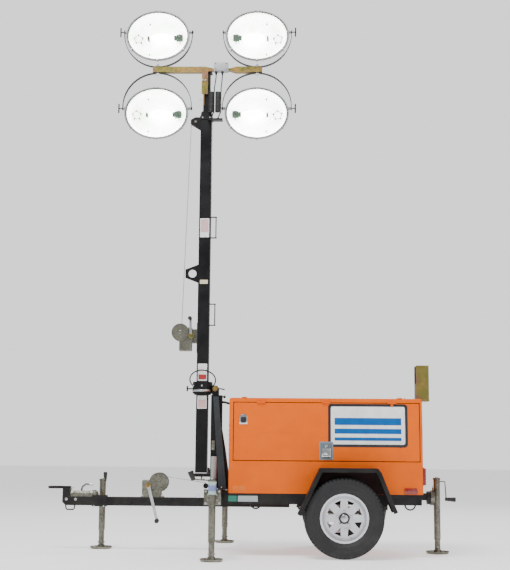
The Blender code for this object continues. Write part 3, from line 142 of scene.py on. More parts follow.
def edge_wear_group():
    """Mask of the edges that hands, chains and stones rub bare."""
    defaults = {"Radius": 0.004, "Amount": 1.0, "Patch Scale": 18.0}
    tree, given, out = new_group("edge wear", defaults, ["Mask"])
    soft = add(tree, "Bevel", {"Radius": given["Radius"]}, samples=4).outputs[0]
    flat = add(tree, "NewGeometry").outputs["Normal"]
    same = add(tree, "VectorMath", {0: soft, 1: flat}, operation="DOT_PRODUCT").outputs["Value"]
    edge = ramp(tree, calc(tree, "SUBTRACT", 1.0, same), 0.04, 0.22)
    patches = ramp(tree, noise(tree, given["Patch Scale"], 5.0), 0.46, 0.62)
    worn = calc(tree, "MULTIPLY", edge, patches)
    give(tree, out["Mask"], calc(tree, "MULTIPLY", worn, given["Amount"], clamp=True))
    return tree


def dust_group():
    """Mask of road dust: more on upward faces and low on the trailer."""
    tree, given, out = new_group("road dust", {"Amount": 0.3, "Top": 0.6, "Height": 0.9}, ["Mask"])
    height = add(tree, "SeparateXYZ", {0: spot(tree)}).outputs["Z"]
    upward = add(tree, "SeparateXYZ", {0: add(tree, "NewGeometry").outputs["Normal"]}).outputs["Z"]
    low = calc(tree, "SUBTRACT", 1.0, calc(tree, "DIVIDE", height, given["Height"]), clamp=True)
    top = calc(tree, "MULTIPLY", ramp(tree, upward, 0.3, 1.0), given["Top"])
    cloud = ramp(tree, noise(tree, 7.0, 8.0, rough=0.65), 0.3, 0.75)
    total = calc(tree, "MULTIPLY", calc(tree, "ADD", low, top), cloud)
    give(tree, out["Mask"], calc(tree, "MULTIPLY", total, given["Amount"], clamp=True))
    return tree


def grain_group():
    """Fine surface grain: a value for roughness and a height for bump."""
    tree, given, out = new_group("grain", {"Scale": 250.0, "Smudge Scale": 6.0}, ["Smudge", "Height"])
    give(tree, out["Smudge"], noise(tree, given["Smudge Scale"], 5.0))
    give(tree, out["Height"], noise(tree, given["Scale"], 2.0))
    return tree


def spangle_group():
    """Crystal patches of hot dip zinc."""
    tree, given, out = new_group("spangle", {"Scale": 70.0}, ["Tone", "Cloud"])
    cells = add(tree, "TexVoronoi", {"Vector": spot(tree), "Scale": given["Scale"]}).outputs["Color"]
    give(tree, out["Tone"], add(tree, "SeparateColor", {0: cells}).outputs[0])
    give(tree, out["Cloud"], noise(tree, 9.0, 6.0))
    return tree


EDGES = edge_wear_group()
DUST = dust_group()
GRAIN = grain_group()
SPANGLE = spangle_group()


def titled(values):
    return {key.replace("_", " ").title().replace("Ior", "IOR"): value for key, value in values.items()}


def use(tree, group, **values):
    """Place a group in a material with its own values."""
    return add(tree, "Group", titled(values), node_tree=group).outputs


def feed(tree, shader, bump=None, **sockets):
    """Give the shader its values; bump is a height, a strength and a distance."""
    for label, value in titled(sockets).items():
        give(tree, shader.inputs[label], value)
    if bump:
        node = add(tree, "Bump", dict(zip(("Height", "Strength", "Distance"), bump)))
        give(tree, shader.inputs["Normal"], node.outputs[0])


def new_material(name, **sockets):
    mat = bpy.data.materials.new(name)
    mat.use_nodes = True
    shader = mat.node_tree.nodes["Principled BSDF"]
    feed(mat.node_tree, shader, **sockets)
    return mat, mat.node_tree, shader


def toned(colour, share):
    return tuple(share * c for c in colour)


# Finishes. FADE is the stretch of a noise over which one tone turns into the other.

FADE = (0.3, 0.7)
WHITE = (1.0, 1.0, 1.0)
DUST_COLOUR = (0.30, 0.26, 0.21)
POST_BLACK = (0.006, 0.006, 0.007)


def painted(name, colour, deep, rough, primer, dust, wear=0.5, top=0.5, coat=0.0, peel=0.06, scale=260.0,
            edge=0.004, shine=0.5):
    """Enamel or powder coat over steel, with worn edges and road dust."""
    mat, tree, shader = new_material(name, coat_weight=coat, coat_roughness=0.06, specular_ior_level=shine)
    grain = use(tree, GRAIN, scale=scale)
    paint = mix(tree, ramp(tree, grain["Smudge"], *FADE), colour, deep)
    chipped = mix(tree, use(tree, EDGES, radius=edge, amount=wear)["Mask"], paint, primer)
    dusty = use(tree, DUST, amount=dust, top=top)["Mask"]
    smooth = ramp(tree, grain["Smudge"], *FADE, rough - 0.05, rough + 0.07)
    feed(tree, shader, base_color=mix(tree, dusty, chipped, DUST_COLOUR),
         roughness=calc(tree, "ADD", smooth, calc(tree, "MULTIPLY", dusty, 0.5), clamp=True),
         bump=(grain["Height"], peel, 0.001))
    return mat


def tower_paint():
    """Slate grey on the outer legs, black on the post between them."""
    mat = painted("tower grey", (0.040, 0.052, 0.058), (0.030, 0.039, 0.044), 0.40, (0.20, 0.19, 0.18), 0.06,
                  shine=0.25)
    tree = mat.node_tree
    shader = tree.nodes["Principled BSDF"]
    slate = shader.inputs["Base Color"].links[0].from_socket
    place = add(tree, "SeparateXYZ", {"Vector": spot(tree)}).outputs
    outside = calc(tree, "GREATER_THAN", calc(tree, "ABSOLUTE", place["Y"]), POST_HALF)
    leg = calc(tree, "MULTIPLY", outside, calc(tree, "GREATER_THAN", place["X"], LEG_X))
    feed(tree, shader, base_color=mix(tree, leg, POST_BLACK, slate))
    return mat


def galvanised():
    """Galvanised steel with its spangle, dull patches and dust."""
    mat, tree, shader = new_material("galvanised", metallic=0.85)
    spangle = use(tree, SPANGLE)
    tone = calc(tree, "MULTIPLY", spangle["Tone"], 0.55)
    cloud = ramp(tree, spangle["Cloud"], 0.32, 0.68, 0.0, 0.45)
    patchy = calc(tree, "ADD", tone, cloud, clamp=True)
    zinc = mix(tree, patchy, (0.25, 0.245, 0.20), (0.095, 0.092, 0.072))
    dusty = use(tree, DUST, amount=0.25, top=0.4, height=0.7)["Mask"]
    feed(tree, shader, base_color=mix(tree, dusty, zinc, DUST_COLOUR),
         roughness=ramp(tree, spangle["Tone"], 0.0, 1.0, 0.32, 0.52),
         bump=(use(tree, GRAIN, scale=420.0)["Height"], 0.10, 0.001))
    return mat


def passivated():
    """Yellow passivated zinc: gold with olive, pink and pale patches."""
    mat, tree, shader = new_material("yellow zinc", metallic=0.75)
    olive = ramp(tree, noise(tree, 9.0, 5.0), 0.42, 0.58)
    pink = ramp(tree, noise(tree, 12.0, 4.0, (1.0, 3.0, 0.6)), 0.50, 0.62)
    gold = mix(tree, olive, (0.32, 0.20, 0.060), (0.21, 0.19, 0.045))
    patchy = mix(tree, pink, gold, (0.27, 0.14, 0.085))
    worn = use(tree, EDGES, radius=0.003, amount=0.7)["Mask"]
    feed(tree, shader, base_color=mix(tree, worn, patchy, (0.66, 0.63, 0.50)),
         roughness=ramp(tree, noise(tree, 30.0), *FADE, 0.28, 0.46),
         bump=(use(tree, GRAIN, scale=500.0)["Height"], 0.05, 0.001))
    return mat


def bright(name, colour, rough, spread=0.08):
    """Bright zinc, chrome or polished steel with faint rub marks."""
    mat, tree, shader = new_material(name, metallic=1.0)
    rub = noise(tree, 60.0, 4.0, (1.0, 1.0, 8.0))
    dull = ramp(tree, noise(tree, 14.0, 5.0), 0.4, 0.7)
    feed(tree, shader, base_color=mix(tree, dull, colour, toned(colour, 0.72)),
         roughness=ramp(tree, rub, *FADE, rough, rough + spread), bump=(rub, 0.04, 0.0005))
    return mat


def rubber(name, colour, dust, rough=0.72):
    mat, tree, shader = new_material(name)
    grain = use(tree, GRAIN, scale=600.0, smudge_scale=9.0)
    base = mix(tree, ramp(tree, grain["Smudge"], 0.35, 0.65), colour, toned(colour, 1.9))
    dusty = use(tree, DUST, amount=dust, top=0.1, height=0.75)["Mask"]
    feed(tree, shader, base_color=mix(tree, dusty, base, (0.13, 0.12, 0.105)),
         roughness=ramp(tree, grain["Smudge"], *FADE, rough - 0.12, rough + 0.1),
         bump=(grain["Height"], 0.25, 0.0008))
    return mat


def film(name, colour, rough=0.38, shine=0.5):
    """Printed vinyl film or moulded plastic in one colour, faintly mottled."""
    mat, tree, shader = new_material(name, specular_ior_level=shine)
    cloud = use(tree, GRAIN, scale=700.0, smudge_scale=12.0)
    feed(tree, shader, base_color=mix(tree, ramp(tree, cloud["Smudge"], *FADE), colour, toned(colour, 0.86)),
         roughness=ramp(tree, cloud["Smudge"], *FADE, rough - 0.06, rough + 0.08),
         bump=(cloud["Height"], 0.05, 0.0005))
    return mat


def lens_glass():
    """Clear front glass of a lamp with faint moulded flutes and a thin white haze."""
    mat, tree, shader = new_material("lamp glass", roughness=0.10, alpha=0.035, emission_strength=0.5,
                                     coat_weight=0.1)
    flutes = add(tree, "TexWave", {"Vector": spot(tree), "Scale": 14.0, "Distortion": 0.3}).outputs["Fac"]
    haze = ramp(tree, noise(tree, 5.0), 0.35, 0.7)
    feed(tree, shader, base_color=mix(tree, haze, (0.93, 0.95, 0.94), (0.86, 0.92, 0.86)),
         emission_color=mix(tree, haze, WHITE, (0.90, 0.98, 0.90)), bump=(flutes, 0.12, 0.002))
    return mat


def burning(name, strength, tint):
    """A lit surface: white, with a faint tint in patches where the light is less even."""
    mat, tree, shader = new_material(name, roughness=0.3, emission_strength=strength)
    patch = ramp(tree, noise(tree, 7.0, 2.0), 0.48, 0.72)
    feed(tree, shader, base_color=mix(tree, patch, (0.95, 0.96, 0.95), tint),
         emission_color=mix(tree, patch, WHITE, tint), bump=(noise(tree, 90.0, 2.0), 0.1, 0.001))
    return mat


def ribbed_plastic(name, colour, glow):
    """Moulded lens of a tail or marker lamp, with small prism blocks inside."""
    mat, tree, shader = new_material(name, roughness=0.12, coat_weight=0.6, subsurface_weight=0.15,
                                     emission_strength=0.15)
    cells = {"Vector": spot(tree), "Scale": 130.0}
    prism = add(tree, "TexVoronoi", cells, distance="CHEBYCHEV").outputs["Distance"]
    tone = ramp(tree, prism, 0.0, 0.7)
    feed(tree, shader, base_color=mix(tree, tone, colour, toned(colour, 0.35)),
         emission_color=mix(tree, tone, glow, toned(glow, 0.0)), bump=(prism, 0.4, 0.001))
    return mat


def wire_rope():
    """Zinc wire rope with the lay of its strands; the dark bands between the strands are painted shade."""
    mat, tree, shader = new_material("wire rope", metallic=0.9)
    strands = {"Vector": spot(tree), "Scale": 60.0, "Distortion": 0.0}
    lay = add(tree, "TexWave", strands, bands_direction="DIAGONAL").outputs["Fac"]
    # Painted shade: the lay darkens the colour between the strands, beside the bump that gives their relief.
    feed(tree, shader, base_color=mix(tree, lay, (0.62, 0.63, 0.62), (0.30, 0.30, 0.30)),
         roughness=ramp(tree, noise(tree, 25.0), *FADE, 0.35, 0.5), bump=(lay, 0.5, 0.001))
    return mat


def engine_casting():
    """Cast and painted engine parts with oil stains."""
    mat, tree, shader = new_material("engine casting", metallic=0.3)
    cast = noise(tree, 180.0, 4.0)
    stain = ramp(tree, noise(tree, 4.0, 6.0), 0.5, 0.66)
    base = mix(tree, ramp(tree, noise(tree, 20.0), *FADE), (0.16, 0.17, 0.18), (0.11, 0.115, 0.12))
    feed(tree, shader, base_color=mix(tree, stain, base, (0.045, 0.038, 0.03)),
         roughness=ramp(tree, cast, *FADE, 0.45, 0.7), bump=(cast, 0.35, 0.0015))
    return mat


ORANGE = painted("orange enamel", (0.84, 0.134, 0.0), (0.78, 0.119, 0.0), 0.45, (0.22, 0.07, 0.02), 0.02,
                 wear=0.30, peel=0.05, edge=0.003, shine=0.15)
CHASSIS = painted("chassis black", POST_BLACK, (0.012, 0.012, 0.012), 0.38, (0.14, 0.12, 0.11), 0.12,
                  shine=0.2)
BLACK = painted("mast black", (0.005, 0.005, 0.006), (0.010, 0.010, 0.011), 0.34, (0.16, 0.15, 0.14), 0.06,
                wear=0.45, shine=0.22)
TOWER = tower_paint()
GALVANISED = galvanised()
YELLOW_ZINC = passivated()
RIM = painted("rim silver", (0.72, 0.73, 0.76), (0.62, 0.63, 0.67), 0.24, (0.25, 0.24, 0.23), 0.22, top=0.1,
              coat=0.4, peel=0.04, scale=500.0)
TYRE = rubber("tyre rubber", (0.007, 0.007, 0.008), 0.14)
CORD = rubber("cord rubber", (0.012, 0.012, 0.013), 0.0, 0.55)
GRIP = rubber("grip rubber", (0.010, 0.010, 0.010), 0.15, 0.6)
STEEL = bright("bright zinc", (0.58, 0.59, 0.60), 0.28)
CHROME = bright("chrome", (0.72, 0.73, 0.75), 0.08, 0.06)
REFLECTOR = burning("lit reflector", 5.0, (0.76, 0.95, 0.70))
BULB = burning("lit bulb", 14.0, (0.94, 1.0, 0.94))
LAMP_GREY = painted("lamp casting", (0.33, 0.34, 0.34), (0.26, 0.27, 0.27), 0.42, (0.5, 0.5, 0.5), 0.1,
                    peel=0.25, scale=380.0)
LENS = lens_glass()
RED = ribbed_plastic("red lens", (0.34, 0.006, 0.005), (1.0, 0.02, 0.01))
BOX_GREY = painted("box grey", (0.40, 0.41, 0.42), (0.33, 0.34, 0.35), 0.42, (0.3, 0.3, 0.3), 0.08, wear=0.3,
                   peel=0.2, scale=420.0)
ENGINE = engine_casting()
ROPE = wire_rope()
WHITE_FILM = film("white film", (0.90, 0.91, 0.92))
BLACK_FILM = film("black film", (0.016, 0.017, 0.020))
BLUE_FILM = film("blue film", (0.002, 0.105, 0.38), 0.38, 0.3)
RED_FILM = film("red film", (0.48, 0.035, 0.030))
CREAM_FILM = film("cream film", (0.72, 0.64, 0.42))
GREEN_FILM = film("green film", (0.020, 0.20, 0.145))
YELLOW_FILM = film("yellow film", (0.80, 0.17, 0.005))
GREY_FILM = film("grey film", (0.40, 0.46, 0.46))
PINK_FILM = film("pale red film", (0.70, 0.46, 0.46))
# Painted shade: a near-black maroon for the canopy side inside the wheel arches, where the fender casts deep
# shade.
ARCH_PAINTED_SHADE = film("wheel arch painted shade", (0.030, 0.004, 0.002), 0.7)
PAN_GREY = film("latch pan grey", (0.12, 0.16, 0.19))
LATCH_GREY = film("latch grey", (0.20, 0.25, 0.28))
SLEEVE_GREY = film("sleeve grey", (0.36, 0.37, 0.37), 0.3)
# Painted shade: the lamp sockets and their fixings are real parts given a near-black green, darkened so that
# they stay dark against the lit reflector.
CERAMIC_PAINTED_SHADE = film("socket ceramic painted shade", (0.008, 0.036, 0.012), 0.7, 0.05)
SOCKET_WIRE_PAINTED_SHADE = film("socket wire painted shade", (0.020, 0.032, 0.008), 0.7, 0.05)
CAP_GREEN = film("jack cap green", (0.42, 0.55, 0.53))
CAP_BLUE = film("jack cap blue", (0.20, 0.25, 0.52))

SLOTS = {
    "canopy_orange": ORANGE, "chassis_black": CHASSIS, "mast_black": BLACK, "tower_grey": TOWER,
    "galvanised": GALVANISED, "yellow_zinc": YELLOW_ZINC, "rim_silver": RIM, "tyre_rubber": TYRE,
    "cord_rubber": CORD, "steel": STEEL, "lamp_grey": LAMP_GREY, "lamp_lens": LENS, "red_lens": RED,
    "box_grey": BOX_GREY, "engine_grey": ENGINE,
}

for part in frame["record"]["subparts"]:
    node = nodes[part["node"]]
    node.data.materials.clear()
    node.data.materials.append(SLOTS[part["material_slot"]])
for name in ("hoist_wire", "tilt_cable"):
    nodes[name].data.materials[0] = ROPE


# Shapes. Each keeps its values until make() hands it the mesh of its piece.

CORNER_STEPS = 4


def shape(build):
    return lambda *values, **settings: lambda bm: build(bm, *values, **settings)


def build_all(bm, shapes):
    """Add shapes, and lists of shapes, to a mesh."""
    for each in shapes:
        if isinstance(each, list):
            build_all(bm, each)
        else:
            each(bm)


def angles(count, first=0.0):
    return [FULL_TURN * (i + first) / count for i in range(count)]


def circle(at, radius, count, first=0.0, across=REAR):
    """Points evenly around a place, in the upright plane that runs along across."""
    return [Vector(at) + radius * (math.cos(a) * Vector(across) + math.sin(a) * Vector(UP))
            for a in angles(count, first)]


def rounded(x, y, half_x, half_y, radius):
    """Outline of a rectangle with round corners."""
    points = []
    for cx, cy, first in ((1, 1, 0), (-1, 1, 1), (-1, -1, 2), (1, -1, 3)):
        for i in range(CORNER_STEPS + 1):
            a = math.pi / 2 * (first + i / CORNER_STEPS)
            points.append((x + cx * (half_x - radius) + radius * math.cos(a),
                           y + cy * (half_y - radius) + radius * math.sin(a)))
    return points


def round_edges(bm, verts, size):
    if size:
        edges = list({edge for vert in verts for edge in vert.link_edges})
        bmesh.ops.bevel(bm, geom=edges, offset=size, segments=2, profile=0.5, affect="EDGES")


def bridge(bm, rings, closed=False):
    """Skin rings of points; a ring of one point closes to a tip."""
    pairs = list(zip(rings, rings[1:]))
    if closed:
        pairs.append((rings[-1], rings[0]))
    for low, high in pairs:
        for i in range(max(len(low), len(high))):
            a, b = low[i % len(low)], low[(i + 1) % len(low)]
            c, d = high[(i + 1) % len(high)], high[i % len(high)]
            corners = list(dict.fromkeys((a, b, c, d)))
            if len(corners) > 2:
                bm.faces.new(corners)


@shape
def box(bm, start, end, bevel=0.0):
    """A block between two opposite corners."""
    low, high = (Vector([pick(pair) for pair in zip(start, end)]) for pick in (min, max))
    verts = bmesh.ops.create_cube(bm, size=1.0)["verts"]
    bmesh.ops.scale(bm, vec=high - low, verts=verts)
    bmesh.ops.translate(bm, vec=(low + high) / 2, verts=verts)
    round_edges(bm, verts, bevel)


@shape
def turned(bm, profile, at, axis, sides=32, scale=(1, 1, 1), closed=False):
    """Revolve (radius, height) points about an axis."""
    turn = Vector(axis).to_track_quat("Z", "Y").to_matrix().to_4x4()
    place = Matrix.Translation(at) @ Matrix.Diagonal((*scale, 1)) @ turn
    rings = []
    for radius, height in profile:
        rings.append([bm.verts.new(place @ Vector((radius * math.cos(a), radius * math.sin(a), height)))
                      for a in angles(sides if radius > 0 else 1)])
    bridge(bm, rings, closed)


@shape
def rod(bm, start, end, radius, sides=16, end_radius=None, chamfer=0.0):
    """A round bar with chamfered ends."""
    start, end = Vector(start), Vector(end)
    length = (end - start).length
    last = end_radius or radius
    profile = [(0, 0), (radius - chamfer, 0), (radius, chamfer), (last, length - chamfer),
               (last - chamfer, length), (0, length)]
    turned(profile, start, end - start, sides)(bm)


def stud(at, axis, reach, radius, sides=12, chamfer=0.001):
    """A pin or a round head that stands out from a place."""
    return rod(at, Vector(at) + reach * Vector(axis), radius, sides, chamfer=chamfer)


@shape
def bolt(bm, at, axis, across=0.013, height=0.007):
    """A hexagon head on its washer."""
    at, axis = Vector(at), Vector(axis).normalized()
    rod(at - axis * 0.0005, at + axis * 0.0016, across * 0.72)(bm)
    head = [(0, 0), (across * 0.56, 0), (across * 0.56, height * 0.8), (across * 0.46, height), (0, height)]
    turned(head, at + axis * 0.0012, axis, 6)(bm)


@shape
def tube(bm, points, radius, sides=10, closed=False):
    """A round tube along points, its rings turned without twist."""
    points = [Vector(point) for point in points]
    side = None
    rings = []
    for i, point in enumerate(points):
        before = points[i - 1] if closed or i else point
        after = points[(i + 1) % len(points)] if closed or i < len(points) - 1 else point
        way = (after - before).normalized()
        if side is None:
            side = way.orthogonal().normalized()
        side = (side - way * side.dot(way)).normalized()
        up = way.cross(side)
        rings.append([bm.verts.new(point + radius * (side * math.cos(a) + up * math.sin(a)))
                      for a in angles(sides)])
    bridge(bm, rings, closed)
    if not closed:
        bm.faces.new(rings[0][::-1])
        bm.faces.new(rings[-1])


@shape
def plate(bm, outline, start, end, bevel=0.0):
    """An upright outline of (x, z) points made thick from one y to another."""
    low, high = sorted((start, end))
    base = [bm.verts.new((x, low, z)) for x, z in outline]
    grown = bmesh.ops.extrude_face_region(bm, geom=[bm.faces.new(base)])["geom"]
    top = [item for item in grown if isinstance(item, bmesh.types.BMVert)]
    bmesh.ops.translate(bm, vec=(0, high - low, 0), verts=top)
    round_edges(bm, base + top, bevel)


@shape
def moved(bm, matrix, *shapes):
    """Shapes built about the origin and then put in place."""
    before = set(bm.verts)
    build_all(bm, shapes)
    bmesh.ops.transform(bm, matrix=matrix, verts=[vert for vert in bm.verts if vert not in before])


def new_object(name, data):
    thing = bpy.data.objects.new(name, data)
    bpy.context.scene.collection.objects.link(thing)
    return thing


def make(name, material, body, *shapes, smooth=35, replaces=()):
    """Build shapes into one piece that rides on a body."""
    bm = bmesh.new()
    build_all(bm, shapes)
    bmesh.ops.remove_doubles(bm, verts=bm.verts, dist=0.00001)
    bmesh.ops.recalc_face_normals(bm, faces=bm.faces)
    mesh = bpy.data.meshes.new(name)
    bm.to_mesh(mesh)
    bm.free()
    mesh.materials.append(material)
    mesh.shade_smooth()
    mesh.set_sharp_from_angle(angle=math.radians(smooth))
    piece = new_object(name, mesh)
    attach(piece, body)
    if replaces:
        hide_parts(*replaces)


# Camera, floor and lights

FLOOR_HALF = 60
SKY_LIGHT = 0.55
SKY_SEEN = 0.90
AIM = Vector((0.0, 0.0, 1.6))
STUDIO = [
    # name, place, size, power
    ("key", (-2.2, -4.2, 9.5), 4.0, 900),
    ("fill", (6.0, -7.0, 4.0), 5.0, 130),
    ("rim", (3.0, 6.0, 7.0), 4.0, 260),
]


def make_camera():
    data = bpy.data.cameras.new("camera")
    data.sensor_width = SENSOR
    data.lens = FOCAL_PIXELS * SENSOR / IMAGE_HEIGHT
    camera = new_object("camera", data)
    camera.matrix_world = Matrix.Translation(CAMERA_AT)
    for degrees, axis in ((CAMERA_YAW, "Z"), (90 + CAMERA_PITCH, "X"), (CAMERA_ROLL, "Z")):
        camera.matrix_world = camera.matrix_world @ Matrix.Rotation(math.radians(degrees), 4, axis)
    bpy.context.scene.camera = camera


def make_floor():
    bm = bmesh.new()
    bmesh.ops.create_grid(bm, x_segments=1, y_segments=1, size=FLOOR_HALF)
    mesh = bpy.data.meshes.new("floor")
    bm.to_mesh(mesh)
    bm.free()
    mesh.materials.append(new_material("pale floor", roughness=0.65, base_color=(0.88, 0.88, 0.88),
                                       emission_color=WHITE, emission_strength=0.66)[0])
    new_object("floor", mesh)


def make_lights():
    world = bpy.data.worlds.new("studio")
    bpy.context.scene.world = world
    world.use_nodes = True
    tree = world.node_tree
    background = tree.nodes["Background"].inputs
    seen = add(tree, "LightPath").outputs["Is Camera Ray"]
    give(tree, background["Color"], (0.94, 0.95, 0.96))
    give(tree, background["Strength"], calc(tree, "ADD", calc(tree, "MULTIPLY", seen, SKY_SEEN), SKY_LIGHT))
    for name, at, size, power in STUDIO:
        data = bpy.data.lights.new(name, "AREA")
        data.size = size
        data.energy = power
        light = new_object(name, data)
        light.location = at
        light.rotation_euler = (AIM - Vector(at)).to_track_quat("-Z", "Y").to_euler()


# Coiled cords between the junction box and the mast

CORD_R = 0.0055
COIL_R = 0.0253
COIL_OUT_R = 0.031
COIL_PITCH = 0.0130
COIL_STEPS = 24
COIL_TOP = 4.315
COIL_Y = -0.092
BEND_R = 0.014
BEND_STEPS = 6
TAIL_DROP = 0.052
EXIT_Y = -0.070
CORD_EXITS = {"coil_cord_a": MAST_X + 0.090, "coil_cord_b": MAST_X + 0.150}


def eased(start, end, steps):
    """Points of an S between two places on vertical tails."""
    start, end = Vector(start), Vector(end)
    points = []
    for i in range(1, steps + 1):
        t = i / steps
        ease = t * t * (3 - 2 * t)
        points.append(Vector((start.x + (end.x - start.x) * ease, start.y + (end.y - start.y) * ease,
                              start.z + (end.z - start.z) * t)))
    return points


def coil_line(name, start):
    """Straight out of the box, round a bend into the helix, round another into the clip."""
    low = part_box(name)[0]
    clip = Vector((low.x + COIL_OUT_R, COIL_Y, low.z))
    coil_low = clip.z + TAIL_DROP + BEND_R
    steps = round((COIL_TOP - coil_low) / COIL_PITCH) * COIL_STEPS
    bend = [math.pi * i / (2 * BEND_STEPS) for i in range(BEND_STEPS + 1)]
    unrolled = [(BEND_R * (1 - math.cos(a)), COIL_TOP + BEND_R * (1 - math.sin(a))) for a in bend]
    unrolled += [(BEND_R + FULL_TURN * COIL_R * i / COIL_STEPS, COIL_TOP - (COIL_TOP - coil_low) * i / steps)
                 for i in range(1, steps + 1)]
    last = unrolled[-1][0]
    unrolled += [(last + BEND_R * math.sin(a), coil_low - BEND_R * (1 - math.cos(a))) for a in bend[1:]]
    coil = [Vector((clip.x + COIL_R * math.cos(run / COIL_R), clip.y + COIL_R * math.sin(run / COIL_R), z))
            for run, z in unrolled]
    line = [start, start - Vector((0, 0, 0.03))]
    line += eased(line[-1], coil[0], 10)[:-1] + coil
    return line + eased(coil[-1], (clip.x, clip.y, clip.z + 0.008), 8) + [clip]


def make_coil_cord(name, exit_x):
    start = Vector((exit_x, EXIT_Y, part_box("junction_box")[0].z - 0.0003))
    line = coil_line(name, start)
    curve = bpy.data.curves.new(name + "_curl", "CURVE")
    curve.dimensions = "3D"
    curve.bevel_depth = CORD_R
    curve.bevel_resolution = 3
    curve.use_fill_caps = True
    curve.materials.append(CORD)
    spline = curve.splines.new("POLY")
    spline.points.add(len(line) - 1)
    for point, place in zip(spline.points, line):
        point.co = (*place, 1)
    cord = new_object(name + "_curl", curve)
    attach(cord, "mast_head")
    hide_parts(name)


make_camera()
make_floor()
make_lights()
for name, exit_x in CORD_EXITS.items():
    make_coil_cord(name, exit_x)


# Running gear

TYRE_STEPS = 480
PITCHES = 60
CROWN_HALF = 0.088
CROWN_DROP = 0.0075
CROWN_STEPS = 70
BEAD_R = 0.2105
BEAD_IN = 0.012
GROOVES = (0.018, 0.050)
GROOVE_HALF = 0.0045
GROOVE_DEPTH = 0.008
WALL_RIDGE = [(-0.0025, 0.0), (-0.0015, 0.0014), (0.0015, 0.0014), (0.0025, 0.0)]
LUG_NUT = [(0, 0), (0.0125, 0), (0.0115, 0.004), (0.0105, 0.012), (0.007, 0.017), (0, 0.0185)]
HUB_RING = [(0.046, 0.0), (0.047, 0.010), (0.044, 0.0165), (0.036, 0.0175), (0.033, 0.013), (0.033, 0.0)]
HUB_CAP = [(0.0335, 0.008), (0.032, 0.018), (0.027, 0.0215), (0.012, 0.0235), (0.0, 0.024)]


def spline_points(points, steps):
    """Catmull-Rom points through a list of pairs."""
    out = []
    padded = [points[0], *points, points[-1]]
    for a, b, c, d in zip(padded, padded[1:], padded[2:], padded[3:]):
        for i in range(steps):
            t = i / steps
            out.append(tuple(0.5 * (2 * q + (r - p) * t + (2 * p - 5 * q + 4 * r - s) * t * t
                                    + (3 * q - p - 3 * r + s) * t ** 3) for p, q, r, s in zip(a, b, c, d)))
    out.append(points[-1])
    return out


def tread_depth(y, radius, turn, outer):
    """How deep the pattern is cut at a place on the tyre: zigzag grooves, shoulder slots and sipes."""
    across = abs(y)
    phase = (turn * PITCHES) % 1.0
    zigzag = 0.0025 * (abs(phase - 0.5) * 4 - 1)
    if radius <= outer - 0.02:
        return 0.0
    depths = [0.0]
    for groove in GROOVES:
        depths.append(GROOVE_DEPTH * (1 - (abs(across - groove - zigzag) / GROOVE_HALF) ** 4))
    if 0.053 < across < 0.093 and phase < 0.24:
        depths.append(0.0065)
    if 0.022 < across < 0.046 and 0.45 < phase < 0.56:
        depths.append(0.004)
    return max(depths)


@shape
def tyre_skin(bm, line, centre, outer):
    """The tyre's section turned about the hub, with the tread cut into it."""
    rings = []
    for index, (y, radius) in enumerate(line):
        before, after = line[max(index - 1, 0)], line[min(index + 1, len(line) - 1)]
        slope = Vector((before[1] - after[1], after[0] - before[0])).normalized()
        ring = []
        for k, a in enumerate(angles(TYRE_STEPS)):
            cut = tread_depth(y, radius, k / TYRE_STEPS, outer)
            deep = radius - cut * abs(slope.y)
            shift = y - cut * (1 if y > 0 else -1) * abs(slope.x)
            ring.append(bm.verts.new((centre.x + deep * math.cos(a), centre.y + shift,
                                      centre.z + deep * math.sin(a))))
        rings.append(ring)
    rings.append([bm.verts.new((vert.co.x, vert.co.y + BEAD_IN, vert.co.z)) for vert in rings[-1]])
    bridge(bm, rings)


def make_tyre(name):
    low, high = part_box("tyre_" + name)
    centre = (low + high) / 2
    outer = (high.z - low.z) / 2
    half = (high.y - low.y) / 2
    wall = spline_points([
        (half - 0.0275, BEAD_R - BEAD_IN), (half - 0.021, BEAD_R), (half - 0.0085, 0.2335),
        (half - 0.0045, 0.240), (half - 0.0035, 0.252), (half, 0.276), (half - 0.001, 0.297),
        (half - 0.006, 0.318), (CROWN_HALF, outer - CROWN_DROP)], 5)
    crown = [(CROWN_HALF * share, outer - CROWN_DROP * abs(share) ** 3)
             for share in [1 - 2 * i / CROWN_STEPS for i in range(1, CROWN_STEPS)]]
    ridges = []
    for radius, y in ((0.262, half - 0.0022), (0.300, half - 0.0018)):
        ridge = [(radius + across, height) for across, height in WALL_RIDGE]
        ridges += [turned(ridge, centre + Vector((0, way * y, 0)), (0, way, 0), 96) for way in (-1, 1)]
    make("tread_" + name, TYRE, "wheel_" + name,
         tyre_skin(wall + crown + [(-y, r) for y, r in reversed(wall)], centre, outer), ridges,
         smooth=38, replaces=["tyre_" + name])


def make_hub(name, side):
    """Wheel nuts, hub ring, cap and tyre valve."""
    low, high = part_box("rim_" + name)
    centre = (low + high) / 2
    out = Vector((0, side, 0))
    hub = centre + 0.040 * out
    valve = centre + Vector((0.057, side * 0.036, -0.160))
    body = "wheel_" + name
    make("lug_nuts_" + name, CHROME, body,
         [turned(LUG_NUT, at, out, 6) for at in circle(centre + 0.0335 * out, 0.060, 5, 0.25)],
         rod(valve + 0.012 * out, valve + 0.034 * out, 0.0035, 10, 0.003))
    make("hub_ring_" + name, GRIP, body, turned(HUB_RING, hub, out, 40, closed=True),
         rod(valve, valve + 0.014 * out, 0.006, 12, 0.0045))
    make("hub_cap_" + name, STEEL, body, turned(HUB_CAP, hub, out, 36))


for name, side in SIDES:
    make_tyre(name)
    make_hub(name, side)


# Canopy fittings

